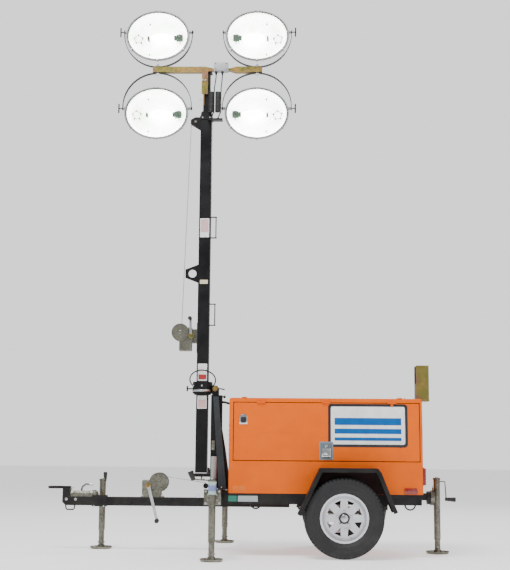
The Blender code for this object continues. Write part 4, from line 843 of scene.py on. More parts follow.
DESIGN_X = (0.690, 1.385)
DESIGN_Z = (0.945, 1.322)
DESIGN_EDGE = 0.024
DESIGN_MARGIN = 0.056
BAR_WIDTHS = (0.028, 0.044, 0.062)
BAR_GAP = 0.032
LATCH_X, LATCH_Z = 0.673, 0.912
LOCK_X, LOCK_Z = -0.053, 1.181
SCREW_Z = 0.562
ROOF_PLUG = [(0.0, 0.010), (0.016, 0.009), (0.024, 0.005), (0.026, 0.0)]


def on_side(outline, side, low, high, bevel=0.0):
    """A plate on the canopy's side, from low to high above its face."""
    return plate(outline, side * (CANOPY_Y + low), side * (CANOPY_Y + high), bevel)


def head_on_side(x, z, side, low, high, radius, sides=12, chamfer=0.001):
    """A round head on the canopy's side, from low to high above its face."""
    return stud((x, side * (CANOPY_Y + low), z), (0, side, 0), high - low, radius, sides, chamfer)


@shape
def leaning(bm, side):
    """Bend what lies on the canopy's side to its crease, above which the side leans in."""
    for level in (CREASE_Z, BAND_Z):
        bmesh.ops.bisect_plane(bm, geom=bm.verts[:] + bm.edges[:] + bm.faces[:], plane_co=(0, 0, level),
                               plane_no=UP)
    for vert in bm.verts:
        share = (vert.co.z - CREASE_Z) / (BAND_Z - CREASE_Z)
        vert.co.y -= side * CANOPY_LEAN * min(max(share, 0.0), 1.0)


def make_design(name, side):
    """Generic striped panel on the door: black border, white field, level blue bars."""
    x, z = sum(DESIGN_X) / 2, sum(DESIGN_Z) / 2
    half_x, half_z = (DESIGN_X[1] - DESIGN_X[0]) / 2, (DESIGN_Z[1] - DESIGN_Z[0]) / 2
    border = [rounded(x, z, half_x, half_z, 0.03)]
    field = [rounded(x, z, half_x - DESIGN_EDGE, half_z - DESIGN_EDGE, 0.016)]
    bars = []
    level = z - half_z + DESIGN_MARGIN
    for width in BAR_WIDTHS:
        bars.append(rounded(x, level + width / 2, half_x - DESIGN_MARGIN, width / 2, 0.004))
        level += width + BAR_GAP
    for label, outlines, low, high, material in (("border", border, 0.0001, 0.0004, BLACK_FILM),
                                                 ("field", field, 0.0003, 0.0007, WHITE_FILM),
                                                 ("bars", bars, 0.0006, 0.0010, BLUE_FILM)):
        make("design_%s_%s" % (label, name), material, "door_" + name,
             [on_side(outline, side, low, high) for outline in outlines], leaning(side))


def make_latch(name, side):
    """Paddle latch in its pan and the round lock near the front corner of the door."""
    body = "door_" + name
    x, z = LATCH_X, LATCH_Z
    make("latch_frame_" + name, LATCH_GREY, body,
         on_side(rounded(x, z, 0.061, 0.079, 0.010), side, 0.0001, 0.0035, 0.001))
    make("latch_pan_" + name, PAN_GREY, body,
         on_side(rounded(x, z, 0.050, 0.067, 0.008), side, 0.0036, 0.0042))
    make("latch_paddle_" + name, CHROME, body,
         on_side(rounded(x, z - 0.018, 0.040, 0.040, 0.008), side, 0.0040, 0.0110, 0.0025),
         on_side(rounded(x, z - 0.045, 0.032, 0.010, 0.005), side, 0.0100, 0.0150, 0.002),
         head_on_side(x, z + 0.042, side, 0.004, 0.010, 0.0135, 24, 0.0015),
         [head_on_side(x + dx, z + dz, side, 0.003, 0.0052, 0.0035, chamfer=0.0006)
          for dx in (-0.053, 0.053) for dz in (-0.070, 0.070)])
    # The thin black box on the latch's round head is painted shade standing for its key slot.
    make("lock_core_" + name, BLACK_FILM, body,
         box((x - 0.0012, side * (CANOPY_Y + 0.0098), z + 0.036),
             (x + 0.0012, side * (CANOPY_Y + 0.0108), z + 0.048)),
         on_side(rounded(LOCK_X, LOCK_Z - 0.006, 0.024, 0.026, 0.010), side, 0.0060, 0.0092, 0.001),
         leaning(side))
    arch = [(LOCK_X + 0.036 * math.cos(a), LOCK_Z + 0.008 + 0.040 * math.sin(a)) for a in angles(32)[:17]]
    foot = [(LOCK_X - 0.036, LOCK_Z - 0.044), (LOCK_X + 0.036, LOCK_Z - 0.044)]
    make("lock_plate_" + name, CHROME, body, on_side(arch + foot, side, 0.0001, 0.0065, 0.002),
         head_on_side(LOCK_X, LOCK_Z + 0.030, side, 0.006, 0.0085, 0.006, 14, 0.0008), leaning(side))


def make_canopy_fittings():
    for name, side in SIDES:
        make_design(name, side)
        make_latch(name, side)
        make("side_marker_" + name, RED, "base",
             on_side(rounded(1.405, 0.5705, 0.055, 0.025, 0.005), side, 0.0003, 0.011, 0.002))
    make("roof_plugs", ORANGE, "base",
         [turned(ROOF_PLUG, (x, y, CANOPY_HIGH.z), UP, 24) for x in (-0.048, 1.320) for y in (-0.50, 0.50)])
    make("canopy_screws", ORANGE, "base",
         [head_on_side(0.21 * i, SCREW_Z, side, 0, 0.0025, 0.005) for _, side in SIDES for i in range(7)],
         [stud((x, -0.48 + 0.16 * i, SCREW_Z), (way, 0, 0), 0.0025, 0.005)
          for x, way in ((CANOPY_LOW.x, -1), (CANOPY_HIGH.x, 1)) for i in range(7)])
    x, y = CANOPY_LOW.x, -0.02
    make("canopy_hose", GRIP, "base",
         tube([(-0.272, y, 1.352), (-0.245, y, 1.350), (-0.215, y, 1.342), (x + 0.001, y, 1.336)], 0.011, 12),
         rod((x - 0.012, y, 1.338), (x, y, 1.336), 0.018, chamfer=0.002))


make_canopy_fittings()


# Lamps: built about the lamp's centre, then put in place and tilted

SHELL = [(0.0, 0.10), (0.12, 0.0995), (0.25, 0.098), (0.40, 0.092), (0.55, 0.083), (0.69, 0.068),
         (0.80, 0.048), (0.87, 0.024), (0.90, 0.0), (0.925, -0.030), (0.932, -0.046), (0.942, -0.049),
         (0.985, -0.049), (1.0, -0.054), (1.0, -0.075), (0.988, -0.080), (0.965, -0.080), (0.962, -0.077),
         (0.962, -0.068), (0.935, -0.068), (0.905, -0.05), (0.87, 0.0), (0.77, 0.042), (0.53, 0.075),
         (0.25, 0.089), (0.0, 0.091)]
DISH = [(0.925, -0.064), (0.893, -0.046), (0.852, -0.002), (0.75, 0.036), (0.52, 0.068), (0.25, 0.083),
        (0.0, 0.0855)]
GLASS = [(0.0, -0.084), (0.3, -0.0836), (0.6, -0.082), (0.85, -0.0785), (0.958, -0.076), (0.958, -0.0683),
         (0.0, -0.0683)]
SEAL = [(0.944, -0.0775), (0.944, -0.0805), (0.948, -0.0815), (0.9615, -0.0815), (0.9615, -0.0775)]
RIB_LINE = [(0.26, 0.098), (0.40, 0.0925), (0.55, 0.084), (0.68, 0.069), (0.80, 0.049), (0.87, 0.024)]
BACK_CAP = [(0.0, 0.112), (0.028, 0.111), (0.036, 0.107), (0.036, 0.096)]
ENVELOPE = [(0, 0), (0.018, 0), (0.020, 0.02), (0.040, 0.07), (0.046, 0.12), (0.040, 0.17), (0.026, 0.205),
            (0.012, 0.222), (0, 0.226)]
SOCKET = [(0, 0), (0.028, 0), (0.034, 0.006), (0.037, 0.032), (0.033, 0.056), (0.025, 0.064), (0.023, 0.086),
          (0, 0.086)]
SOCKET_LEGS = ((0.205, 0.036), (0.185, 0.030), (0.210, -0.035), (0.180, -0.028))
PIVOT_NUT = [(0, 0), (0.021, 0), (0.021, 0.002), (0.0165, 0.0025), (0.0175, 0.004), (0.0175, 0.014),
             (0.015, 0.016), (0.008, 0.016), (0.008, 0.028), (0.006, 0.030), (0, 0.030)]
CLIP_DEGREES = (86.6, 93.4, 215, 270, 325)
CENTRE = (0, 0, 0)
OVAL = (LAMP_HALF_W, 1.0, LAMP_HALF_H)
OVAL_SIDES = 72
YOKE_A = 0.333


def oval(profile, closed=False):
    """Revolve shares of the lamp's half width and height about its axis."""
    return turned(profile, CENTRE, FAR, OVAL_SIDES, OVAL, closed)


def lamp_rib(a):
    return tube([(share * LAMP_HALF_W * math.cos(a), y, share * LAMP_HALF_H * math.sin(a))
                 for share, y in RIB_LINE], 0.004, 8)


def rim_clip(degrees):
    """A spring clip over the rim of the glass, at an angle around the oval."""
    a = math.radians(degrees)
    rim = (LAMP_HALF_W * math.cos(a), 0, LAMP_HALF_H * math.sin(a))
    out = Vector((math.cos(a) / LAMP_HALF_W, 0, math.sin(a) / LAMP_HALF_H)).normalized()
    turn = Matrix((Vector(FAR).cross(out), FAR, out)).transposed().to_4x4()
    return moved(Matrix.Translation(rim) @ turn,
                 box((-0.006, -0.0835, -0.011), (0.006, -0.0815, 0.003), 0.0005),
                 box((-0.006, -0.0835, 0.0005), (0.006, -0.046, 0.003), 0.0005),
                 rod((-0.007, -0.046, 0.002), (0.007, -0.046, 0.002), 0.0035, 10))


def make_lamp(row, column):
    """Bowl, reflector, glass, bulb and fixings of one lamp, and the nut on its yoke's pivot."""
    up = 1 if row == "top" else -1
    side = -1 if column == "left" else 1
    name = row + "_" + column
    pivot = Vector((MAST_X + side * LAMP_X, 0, ARM_Z + up * LAMP_PIVOT))
    tilt = Matrix.Rotation(math.radians(LAMP_TILT[row]), 4, "X")
    place = Matrix.Translation(pivot) @ tilt @ Matrix.Translation((0, 0, -LAMP_DROP))

    def fit(label, material, *shapes, **settings):
        make(label + "_" + name, material, "lamp_" + name, moved(place, *shapes), **settings)

    trunnions = [rod((way * LAMP_HALF_W * 0.85, 0, LAMP_DROP), (way * (YOKE_A - 0.0033), 0, LAMP_DROP), 0.014,
                     20, chamfer=0.001) for way in (-1, 1)]
    fit("bowl", LAMP_GREY, oval(SHELL), trunnions, [lamp_rib(a) for a in angles(10, 0.5)],
        turned(BACK_CAP, CENTRE, FAR), replaces=["lamp_" + name])
    front = spline_points(DISH, 3)
    back = [(share + 0.004, y + 0.0015) for share, y in front[:-1]] + [(0.0, DISH[-1][1] + 0.0015)]
    fit("reflector", REFLECTOR, oval(front + back[::-1], closed=True), smooth=60)
    fit("glass", LENS, oval(GLASS), replaces=["lens_" + name])
    fit("seal", GRIP, oval(SEAL, closed=True),
        rod((-side * 0.10, 0.085, -0.02), (-side * 0.10, 0.118, -0.02), 0.012, 16, 0.010, 0.002))
    fit("bulb", BULB, turned(ENVELOPE, (-side * 0.15, -0.002, 0), (side, 0, 0)), smooth=50)
    # The socket and fixings below carry painted shade in their near-black green.
    fit("socket", CERAMIC_PAINTED_SHADE, turned(SOCKET, (-side * 0.238, -0.004, 0), (side, 0, 0), 28),
        [rod((-side * x, -0.010, z), (-side * x, 0.045, z * 1.2), 0.004, 8) for x, z in SOCKET_LEGS])
    fit("lamp_fixings", SOCKET_WIRE_PAINTED_SHADE,
        box((side * 0.100 - 0.009, -0.018, -0.017), (side * 0.100 + 0.009, 0.055, 0.017), 0.003),
        tube(circle((side * 0.200, 0.028, 0), 0.036, 28), 0.0024, 8, closed=True),
        [stud(at, FAR, 0.040, 0.0060, 8, 0) for at in circle((side * 0.200, 0.020, 0), 0.044, 5, 0.3)],
        [stud((side * 0.09, 0.025, z), FAR, 0.037, 0.0065, 10) for z in (-0.155, 0.155)])
    fit("rim_clips", STEEL, [rim_clip(degrees) for degrees in CLIP_DEGREES],
        [bolt((way * (YOKE_A - 0.0105), -0.014, LAMP_DROP), NEAR, 0.009, 0.004) for way in (-1, 1)])
    make("pivot_nut_" + name, WHITE_FILM, "yoke_" + name,
         turned(PIVOT_NUT, (pivot.x, 0, ARM_Z + up * (ARM_HALF + 0.0061)), (0, 0, up), 6))


for row in ("top", "bottom"):
    for column in ("left", "right"):
        make_lamp(row, column)


# Crossarm and junction box

GLAND = [(0, 0), (0.013, 0), (0.013, 0.010), (0.0105, 0.012), (0.0105, 0.020), (0.0075, 0.030), (0, 0.030)]
ARM_LOW = ARM_Z - ARM_HALF


def make_head_fittings():
    low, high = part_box("junction_box")
    middle = (low + high) / 2
    make("box_lid", BOX_GREY, "mast_head",
         box((low.x + 0.004, low.y - 0.0022, low.z + 0.004),
             (high.x - 0.004, low.y + 0.002, high.z - 0.004), 0.002))
    make("box_screws", TOWER, "mast_head",
         [stud((middle.x + dx, low.y, middle.z + dz), NEAR, 0.0042, 0.0055, chamfer=0.0008)
          for dx in (-0.052, 0.052) for dz in (-0.028, 0.028)])
    tails = [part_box(name)[0] + Vector((COIL_OUT_R, 0, 0)) for name in CORD_EXITS]
    make("cord_glands", GRIP, "mast_head",
         [turned(GLAND, (x, EXIT_Y, low.z), DOWN, 6) for x in CORD_EXITS.values()],
         [rod((at.x, COIL_Y, at.z + 0.0005), (at.x, COIL_Y, at.z + 0.016), 0.0115, 14, 0.0075, 0.001)
          for at in tails])
    half = ARM_HALF - 0.003
    ends = zip(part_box("crossarm"), (-1, 1))
    make("arm_end_plugs", GRIP, "mast_head",
         [box((end.x - way * 0.0004, -half, ARM_Z - half), (end.x + way * 0.0016, half, ARM_Z + half), 0.0008)
          for end, way in ends])
    make("head_bolts", STEEL, "mast_head",
         [[bolt((MAST_X + x, -0.0565, ARM_LOW - 0.09), NEAR, 0.014),
           bolt((MAST_X + x, -0.042, ARM_LOW + 0.0012), DOWN, height=0.008)] for x in (-0.040, -0.012)],
         tube([(MAST_X - 0.048, -0.030, 4.25), (MAST_X - 0.058, -0.040, 4.262),
               (MAST_X - 0.070, -0.040, 4.254)], 0.003))


make_head_fittings()


# Mast: blank labels, guide bolts and the sheave

MAST_LABELS = [
    # lower edge, upper edge, half width, thickness, name, finish
    (2.902, 3.083, 0.043, 0.0003, "label_white", WHITE_FILM),
    (2.951, 3.076, 0.037, 0.0006, "label_top", PINK_FILM),
    (2.456, 2.494, 0.037, 0.0003, "label_cream", CREAM_FILM),
    (1.545, 1.705, 0.043, 0.0003, "label_low", WHITE_FILM),
    (1.560, 1.605, 0.036, 0.0006, "label_red", RED_FILM),
    (1.289, 1.409, 0.043, 0.0003, "label_foot", WHITE_FILM),
    (1.297, 1.372, 0.036, 0.0006, "label_pink", PINK_FILM),
]
SHEAVE_RIM = [(0.0395, -0.010), (0.0415, -0.0075), (0.0415, -0.0065), (0.0395, -0.004), (0.0395, 0.004),
              (0.0415, 0.0065), (0.0415, 0.0075), (0.0395, 0.010)]
COLLAR_BAND = [(0.0930, -0.027), (0.0940, -0.025), (0.0940, -0.011), (0.0930, -0.009)]


def make_mast_fittings():
    for low, high, half, thick, name, material in MAST_LABELS:
        outline = rounded(MAST_X, (low + high) / 2, half, (high - low) / 2, 0.004)
        make("mast_" + name, material, "mast", plate(outline, -MAST_HALF - thick, 0.001 - MAST_HALF))
    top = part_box("mast_outer")[1].z
    make("mast_bolts", STEEL, "mast",
         [bolt((MAST_X + dx, way * (MAST_HALF + 0.006), top - 0.018), (0, way, 0), 0.012, 0.006)
          for dx in (-0.035, 0.035) for way in (-1, 1)],
         [bolt((MAST_X + way * 0.030, way * -0.0785, 1.475), (way * 0.3, -way, 0), 0.012, 0.006)
          for way in (-1, 1)])
    sheave = Vector((MAST_X - MAST_HALF - 0.05, 0, top - 0.05))
    make("mast_sheave_rim", GALVANISED, "mast", turned(SHEAVE_RIM, sheave, FAR, 40, closed=True),
         [stud(sheave + Vector((0, way * 0.0205, 0)), (0, way, 0), 0.0095, 0.013, 6, 0) for way in (-1, 1)])
    make("pivot_bolt", YELLOW_ZINC, "base", bolt((PIVOT_X, -0.0602, PIVOT_Z), NEAR, 0.036, 0.014),
         bolt((PIVOT_X, 0.0582, PIVOT_Z), FAR, 0.034, 0.012))
    make("tower_knobs", GRIP, "base", stud((-0.274, -0.030, 1.400), REAR, 0.016, 0.006, 10, 0),
         stud((-0.260, -0.030, 1.400), REAR, 0.020, 0.013, 18, 0.003),
         tube([(PIVOT_X + 0.018, -0.052, PIVOT_Z), (PIVOT_X + 0.052, -0.054, PIVOT_Z - 0.001),
               (PIVOT_X + 0.088, -0.054, PIVOT_Z - 0.008)], 0.006))
    ways = [Vector((math.cos(math.radians(a)), math.sin(math.radians(a)), 0)) for a in (-150, -90, 90, 150)]
    make("collar_band", STEEL, "carrier", turned(COLLAR_BAND, (MAST_X, 0, PIVOT_Z), UP, 48),
         [bolt(Vector((MAST_X, 0, 1.500)) + way * 0.0925, way) for way in ways])


make_mast_fittings()


# Winches: wound cable, flange rings, rivets, hub nut and the crank's grip

WIRE_PITCH = 0.0062
CHEEK_IN = 0.0085
FLANGE_CAP = [(0.0, 0.004), (0.016, 0.0035), (0.020, 0.001), (0.020, -0.0005)]
CRANK_COLLAR = [(0.026, 0.0), (0.026, 0.004), (0.020, 0.006), (0.0165, 0.006), (0.0165, 0.0)]


def wound_cable(drum, width):
    """Section of one layer of cable, wound on a drum of that radius and width."""
    line = [(drum - 0.002, CHEEK_IN - width / 2)]
    for i in range(int((width - 2 * CHEEK_IN) / WIRE_PITCH)):
        y = CHEEK_IN - width / 2 + i * WIRE_PITCH
        line += [(drum + 0.0005, y), (drum + 0.0032, y + 0.0012), (drum + 0.0036, y + 0.0031),
                 (drum + 0.0032, y + 0.005)]
    return line + [(drum - 0.002, line[-1][1] + 0.001)]


def ridged_grip(radius, reach, ridges=8):
    """Section of a plastic crank grip that swells towards its end."""
    profile = [(0, 0), (radius * 0.86, 0)]
    for i in range(ridges):
        share = (i + 0.5) / ridges
        wide = radius * (0.86 + 0.20 * share)
        profile += [(wide + 0.0008, reach * (share - 0.045)), (wide + 0.0008, reach * (share + 0.02)),
                    (wide - 0.0006, reach * (share + 0.05))]
    return profile + [(radius * 0.9, reach + 0.001), (0, reach + 0.002)]


def dress_winch(name, body, drum, radius, width, hub, knob, knob_reach, knob_r):
    half = width / 2
    x, z = drum
    make(name + "_wound_cable", ROPE, body, turned(wound_cable(radius * 0.62, width), (x, 0, z), FAR, 48),
         smooth=60)
    rim = [(radius, -0.0005), (radius, 0.0018), (radius - 0.004, 0.0022), (radius - 0.006, -0.0005)]
    make(name + "_flanges", GALVANISED, body,
         [[turned(rim, (x, way * half, z), (0, way, 0), 64, closed=True),
           turned(FLANGE_CAP, (x, way * half, z), (0, way, 0)),
           [stud(at, (0, way, 0), 0.0025, 0.0045, 10) for at in circle((x, way * half, z), radius * 0.52, 6)]]
          for way in (-1, 1)])
    make(name + "_hub", YELLOW_ZINC, body, bolt((hub[0], knob[1] + 0.0004, hub[1]), NEAR, 0.020, 0.010),
         turned(CRANK_COLLAR, (hub[0], -half - 0.001, hub[1]), NEAR, 20, closed=True))
    make(name + "_grip", GRIP, body, turned(ridged_grip(knob_r, knob_reach), knob, NEAR, 28))


dress_winch("mast_winch", "mast", (-0.673, 2.0), 0.082, 0.07, (-0.5723, 1.97), (-0.5783, -0.0523, 2.125),
            0.068, 0.0168)
dress_winch("tilt_winch", "base", (-0.845, 0.615), 0.088, 0.075, (-0.940, 0.582), (-0.8485, -0.0583, 0.270),
            0.072, 0.0188)


# Jacks: caps, pull pins, grips and bolts

PIN_HOLE_Z = 0.060
SIDE_JACK_X, SIDE_JACK_Y, SIDE_JACK_TOP, SIDE_SWIVEL_Z = -0.29, 1.0, 0.655, 0.5183
PLATE_THICK = 0.0085
CAP_LOW = [(0.0295, 0.0), (0.037, 0.002), (0.037, 0.010), (0.0325, 0.014), (0.0325, 0.030)]
CAP_TOP = [(0.0325, 0.0), (0.0325, 0.018), (0.037, 0.022), (0.037, 0.030), (0.0295, 0.032)]
CAP_BAND = [(0.0295, 0.0), (0.0328, 0.001), (0.0328, 0.045), (0.0295, 0.046)]


@shape
def cone_grip(bm, start, end, radius, ridges=6):
    """Ribbed rubber cone over a crank's handle."""
    way = Vector(end) - Vector(start)
    profile = [(0, -0.010), (radius * 0.66, -0.010), (radius * 0.72, -0.008)]
    for i in range(ridges):
        share = (i + 0.5) / ridges
        at = way.length * share
        wide = radius * (0.74 + 0.28 * share)
        profile += [(wide + 0.0012, at - 0.004), (wide + 0.0012, at + 0.002), (wide - 0.0004, at + 0.0035)]
    profile += [(radius + 0.0008, way.length), (radius * 0.8, way.length + 0.002), (0, way.length + 0.002)]
    turned(profile, start, way, 28)(bm)


def dress_jack(body, at, plate_at, out, ring_r, grip):
    """Crank bolt on the top, pin through the leg, swivel ring's bolts, pull pin and grip."""
    x, y, top = at
    across = Vector(out).cross(Vector(UP))
    foot = Vector((x, y, PIN_HOLE_Z))
    make(body + "_bolts", STEEL, body, stud((x, y, top + 0.0118), UP, 0.0082, 0.013, 6),
         stud(foot - 0.0335 * across, across, 0.067, 0.0055),
         [bolt(spot, out, 0.010, 0.005) for spot in circle(plate_at, ring_r - 0.009, 6, 0.5, across)])
    pin = Vector(plate_at) - 0.008 * Vector(out) + Vector((0, 0, ring_r))
    make(body + "_pull_pin", YELLOW_ZINC, body, stud(pin, UP, 0.022, 0.0065),
         tube(circle(pin + Vector((0, 0, 0.030)), 0.012, 20, across=across), 0.0018, 6, closed=True))
    make(body + "_grip", GRIP, body, cone_grip(*grip))


def dress_side_jack(name, side):
    x, y, top = SIDE_JACK_X, side * SIDE_JACK_Y, SIDE_JACK_TOP
    jack = "side_jack_" + name
    out = (0, side, 0)
    dress_jack(jack, (x, y, top), (x, side * 0.9733, SIDE_SWIVEL_Z), out, 0.05,
               ((x - 0.16, y, top + 0.012), (x - 0.185, y, top + 0.075), 0.024))
    make("jack_cap_" + name, CAP_GREEN, jack, turned(CAP_LOW, (x, y, 0.542), UP, 36),
         turned(CAP_TOP, (x, y, 0.618), UP, 36))
    make("jack_cap_band_" + name, CAP_BLUE, jack, turned(CAP_BAND, (x, y, 0.572), UP, 36))
    low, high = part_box("outrigger_beam_" + name)
    outer = low.y if side < 0 else high.y
    inner = outer - side * PLATE_THICK
    make("swivel_plate_" + name, GALVANISED, "outrigger_" + name,
         box((low.x - 0.0008, outer + side * 0.0002, low.z - 0.0008),
             (high.x + 0.0008, inner, high.z + 0.0008), 0.002))
    make("swivel_bolts_" + name, STEEL, "outrigger_" + name,
         [[bolt((x + dx, outer, SIDE_SWIVEL_Z + dz), out, height=0.008),
           bolt((x + dx, inner, SIDE_SWIVEL_Z + dz), (0, -side, 0), height=0.008)]
          for dx in (-0.056, 0.056) for dz in (-0.048, 0.048)])


for name, side in SIDES:
    dress_side_jack(name, side)
dress_jack("tongue_jack", (-1.39, 0.15, 0.625), (-1.39, 0.1203, 0.442), FAR, 0.042,
           ((-1.39, 0.28, 0.621), (-1.39, 0.285, 0.695), 0.018))
dress_jack("rear_jack", (1.70, 0.0, 0.665), (1.6703, 0, 0.497), REAR, 0.068,
           ((1.785, 0, 0.485), (1.8693, 0, 0.482), 0.020))


# Trailer: bolts, labels, hitch and springs

SIDEWAYS_BOLTS = [
    # x, distance from the middle, z, width across flats
    (-1.692, 0.0402, 0.4550, 0.018), (-1.607, 0.0402, 0.4550, 0.018), (-1.435, 0.0542, 0.3962, 0.011),
    (-1.345, 0.0542, 0.3962, 0.011),
]
UPRIGHT_BOLTS = [
    (-0.990, 0.030, 0.4863, 0.013), (-0.813, 0.032, 0.4863, 0.013), (-0.265, 0.105, 0.5706, 0.015),
    (-0.315, 0.105, 0.5706, 0.015), (1.410, 0.075, 1.3883, 0.014), (1.500, 0.080, 1.3883, 0.014),
    (-1.645, 0.020, 0.5532, 0.014),
]
EYE_X, EYE_Y, EYE_Z = -0.485, -0.0445, 0.4975
HOOK = [(-0.455, 0, 0.680), (-0.455, 0, 0.652), (-0.447, 0, 0.640), (-0.436, 0, 0.640), (-0.430, 0, 0.650)]
DRAWBAR_LOOP = [(-1.705, 0, 0.402), (-1.700, 0, 0.368), (-1.690, 0, 0.360), (-1.635, 0, 0.360),
                (-1.625, 0, 0.368), (-1.618, 0, 0.402)]
ARCH = [(0.508, 0.5415), (0.616, 0.757), (1.098, 0.757), (1.125, 0.726), (1.200, 0.5415)]
RAIL_LABELS = (("green", -0.1415, 0.0365, GREEN_FILM), ("grey", -0.0085, 0.0865, GREY_FILM))
RAIL_LABEL_Z = 0.494
SHACKLE = [(1.205, 0.440), (1.180, 0.440), (1.150, 0.295), (1.158, 0.285), (1.168, 0.285), (1.178, 0.293)]
LOUVRES = 7
LOUVRE_PITCH = 0.042
CANISTER_SLEEVE = [(0.0286, 0.0), (0.0292, 0.001), (0.0292, 0.199), (0.0286, 0.200)]
CRADLE_X = (1.520, 1.631)


def make_drawbar_fittings():
    make("trailer_bolts", STEEL, "base",
         [bolt((x, side * y, z), (0, side, 0), across, across * 0.55)
          for x, y, z, across in SIDEWAYS_BOLTS for side in (-1, 1)],
         [bolt((x, side * y, z), UP, across, across * 0.55)
          for x, y, z, across in UPRIGHT_BOLTS for side in (-1, 1)],
         [stud((x, y, 0.5583), UP, 0.0197, 0.006) for x in (-0.30, -0.28) for y in (-0.505, 0.505)],
         stud((-1.515, -0.044, 0.510), FAR, 0.088, 0.006),
         rod((-1.49, 0, 0.588), (-1.455, 0, 0.5865), 0.0105, 14, chamfer=0.002))
    eye = [(EYE_X + 0.013 * math.cos(a), EYE_Y, EYE_Z + 0.018 * math.sin(a)) for a in angles(24)]
    make("safety_eye", WHITE_FILM, "base", tube(eye, 0.0048, closed=True),
         stud((EYE_X, EYE_Y, 0.476), UP, 0.007, 0.006, chamfer=0))
    make("drawbar_hooks", BLACK, "base", stud((EYE_X, -0.046, 0.470), FAR, 0.007, 0.010, 16),
         stud((EYE_X, EYE_Y, 0.468), UP, 0.011, 0.0065, chamfer=0),
         tube(HOOK, 0.006), tube(DRAWBAR_LOOP, 0.006))


def make_side_labels(name, side):
    """Blank labels on the chassis rail and the canopy, and the plug in the door."""
    for label, x, half, material in RAIL_LABELS:
        make("rail_label_%s_%s" % (label, name), material, "base",
             on_side(rounded(x, RAIL_LABEL_Z, half, 0.025, 0.003), side, -0.001, 0.0004))
    make("canopy_label_" + name, YELLOW_FILM, "base",
         [on_side(rounded(x, 0.583, 0.024, 0.022, 0.003), side, 0.0001, 0.0004) for x in (-0.116, -0.059)])
    make("door_plug_" + name, GRIP, "door_" + name,
         head_on_side(1.321, 0.946, side, -0.001, 0.002, 0.006, 14))


def u_bolt(x, y):
    """Round clamp over the axle, with its two nuts under the spring's plate."""
    half, inner, foot, top = 0.034, 0.028, 0.300, 0.3985
    path = [(x, y - half, foot), (x, y - half, top - 0.003), (x, y - inner, top), (x, y + inner, top),
            (x, y + half, top - 0.003), (x, y + half, foot)]
    return [tube(path, 0.005)] + [bolt((x, y + dy, 0.3125), DOWN, 0.015, 0.009) for dy in (-half, half)]


def dress_spring(name):
    low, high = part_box("spring_" + name)
    y = (low.y + high.y) / 2
    make("spring_clamps_" + name, STEEL, "base", [u_bolt(x, y) for x in (0.788, 0.852)],
         box((0.765, y - 0.045, 0.3125), (0.875, y + 0.045, 0.3188), 0.001),
         [stud((x, y - 0.044, 0.4225), FAR, 0.088, 0.009, 14) for x in (0.45, 1.19)])
    make("shackle_" + name, GALVANISED, "base",
         [plate(SHACKLE, y + dy - 0.0025, y + dy + 0.0025, 0.0008) for dy in (-0.043, 0.043)],
         stud((1.164, y - 0.048, 0.297), FAR, 0.096, 0.007))


def louvre_painted_shade(face, way):
    """Painted shade: black plates in the slots under the louvres of one end wall."""
    return [box((face, side * 0.137, z - 0.0085), (face + way * 0.0012, side * 0.423, z - 0.001))
            for side in (-1, 1) for z in [0.87 + LOUVRE_PITCH * i for i in range(LOUVRES)]]


def dress_tail_lamp(name):
    low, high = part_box("tail_lamp_" + name)
    middle = (low + high) / 2
    make("tail_lamp_bezel_" + name, GRIP, "base",
         box((low.x - 0.0002, low.y - 0.007, low.z - 0.007),
             (low.x + 0.007, high.y + 0.007, high.z + 0.007), 0.003))
    make("tail_lamp_screws_" + name, CHROME, "base",
         [stud((high.x - 0.002, middle.y, middle.z + dz), REAR, 0.0035, 0.0042, chamfer=0.0006)
          for dz in (-0.062, 0.062)])


make_drawbar_fittings()
# Painted shade: a dark plate on the canopy side within each fender's arch, standing for the shade there.
for name, side in SIDES:
    make("arch_shade_plate_" + name, ARCH_PAINTED_SHADE, "base", on_side(ARCH, side, 0.0004, 0.0014))
for name, side in SIDES:
    make_side_labels(name, side)
for name, side in SIDES:
    dress_spring(name)
# Painted shade in the louvre slots of both end walls.
make("louvre_painted_shade", BLACK_FILM, "base", louvre_painted_shade(CANOPY_LOW.x + 0.009, -1),
     louvre_painted_shade(CANOPY_HIGH.x - 0.009, 1))
for name, side in SIDES:
    dress_tail_lamp(name)
make("cradle_pads", GRIP, "base", box((CRADLE_X[0], -0.058, 1.5335), (CRADLE_X[1], 0.058, 1.5375), 0.001),
     [box((CRADLE_X[0], side * 0.0622, 1.550), (CRADLE_X[1], side * 0.0585, 1.690), 0.001)
      for side in (-1, 1)])
make("canister_sleeve", SLEEVE_GREY, "base", turned(CANISTER_SLEEVE, (-0.338, -0.0725, 0.6535), UP, 40))
make("catch_plate", GALVANISED, "base", box((-0.3642, -0.0572, 0.911), (-0.3318, -0.0455, 0.998), 0.0015),
     [stud((-0.348, -0.0572, z), NEAR, 0.0058, 0.006, 6, 0) for z in (0.935, 0.975)])


# Engine and generator, seen with a door open

SHAFT_Z = 0.80
BED_Z = 0.5528
HEADS_X = [0.225 + 0.115 * i for i in range(4)]
PULLEYS = ((0.02, SHAFT_Z, 0.088, range(-150, 61, 15)), (-0.13, 0.92, 0.038, range(90, 211, 20)))


def generator_section(fins=12):
    """Ribbed generator barrel."""
    line = [(0, 0), (0.170, 0)]
    for i in range(fins):
        x = 0.012 + 0.032 * i
        line += [(0.172, x), (0.184, x + 0.004), (0.184, x + 0.014), (0.172, x + 0.018)]
    return line + [(0.150, 0.41), (0.060, 0.435), (0, 0.435)]


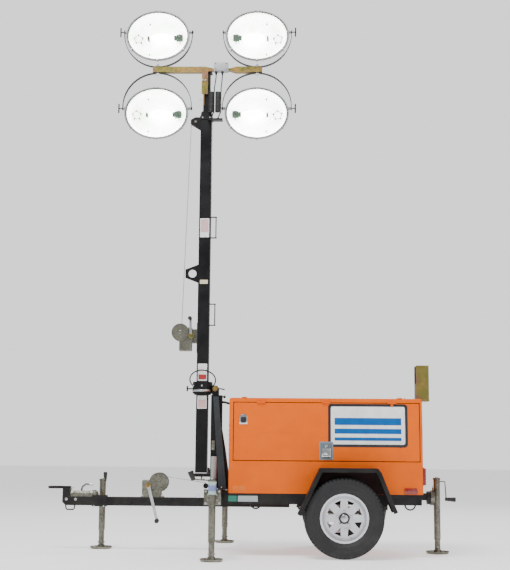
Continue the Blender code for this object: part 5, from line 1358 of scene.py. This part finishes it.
def make_engine_set():
    make("engine_castings", ENGINE, "base",
         box((0.16, -0.16, 0.62), (0.66, 0.16, 0.98), 0.012),
         box((0.18, -0.13, 0.978), (0.64, 0.13, 1.06), 0.008),
         box((0.20, -0.12, BED_Z), (0.62, 0.12, 0.625), 0.012),
         stud((0.655, 0, SHAFT_Z), REAR, 0.09, 0.190, 40, 0.008),
         turned(generator_section(), (0.744, 0, SHAFT_Z), REAR, 48),
         [box((x - 0.03, -0.20, BED_Z), (x + 0.03, 0.20, 0.64), 0.004) for x in (0.80, 1.08)],
         [tube([(x, side * 0.12, 1.02), (x, side * 0.165, 1.02), (x, side * 0.185, 0.99)], 0.019, 14)
          for x in HEADS_X for side in (-1, 1)], replaces=["engine"])
    make("engine_covers", BLACK, "base", box((0.20, -0.10, 1.059), (0.62, 0.10, 1.106), 0.012),
         stud((0.72, -0.07, 1.045), REAR, 0.28, 0.062, 32, 0.006),
         box((0.085, -0.215, 0.60), (0.130, 0.215, 1.06), 0.006),
         stud((0.135, 0.02, SHAFT_Z), REAR, 0.025, 0.085, 32, 0.004),
         stud((0.135, -0.13, 0.92), REAR, 0.025, 0.035, 24, 0.003))
    make("engine_metal", STEEL, "base", stud((0.20, 0.195, 0.95), REAR, 0.40, 0.040, 28, 0.006),
         stud((0.165, -0.20, 0.90), REAR, 0.12, 0.036, 24, 0.004),
         tube([(0.60, 0.195, 0.95), (0.66, 0.20, 0.955), (0.70, 0.205, 1.0), (0.70, 0.205, 1.10)], 0.018, 14),
         [bolt((x, y, 1.1055), UP, height=0.006) for x in (0.23, 0.41, 0.59) for y in (-0.07, 0.07)],
         [bolt(at, REAR, 0.012, 0.006) for at in circle((0.7455, 0, SHAFT_Z), 0.178, 10, across=FAR)])
    belt = [(0.148, y + radius * math.cos(math.radians(a)), z + radius * math.sin(math.radians(a)))
            for y, z, radius, degrees in PULLEYS for a in degrees]
    make("engine_hoses", GRIP, "base",
         tube([(0.13, -0.05, 1.02), (0.17, -0.06, 1.05), (0.22, -0.06, 1.075)], 0.020, 14),
         tube([(0.13, 0.10, 0.66), (0.16, 0.14, 0.66), (0.20, 0.175, 0.68), (0.24, 0.165, 0.70)], 0.020, 14),
         tube([(0.72, -0.07, 1.045), (0.66, -0.085, 1.045), (0.60, -0.13, 1.035)], 0.024, 14),
         tube([(0.46, -0.24, 0.72), (0.50, -0.235, 0.78), (0.55, -0.19, 0.83), (0.60, -0.165, 0.85)], 0.007),
         tube(belt, 0.005, 8, closed=True))
    make("engine_filters", WHITE_FILM, "base", stud((0.44, -0.158, 0.72), NEAR, 0.080, 0.044, 28, 0.005),
         stud((0.56, -0.158, 0.93), NEAR, 0.047, 0.026, 24, 0.004))


make_engine_set()
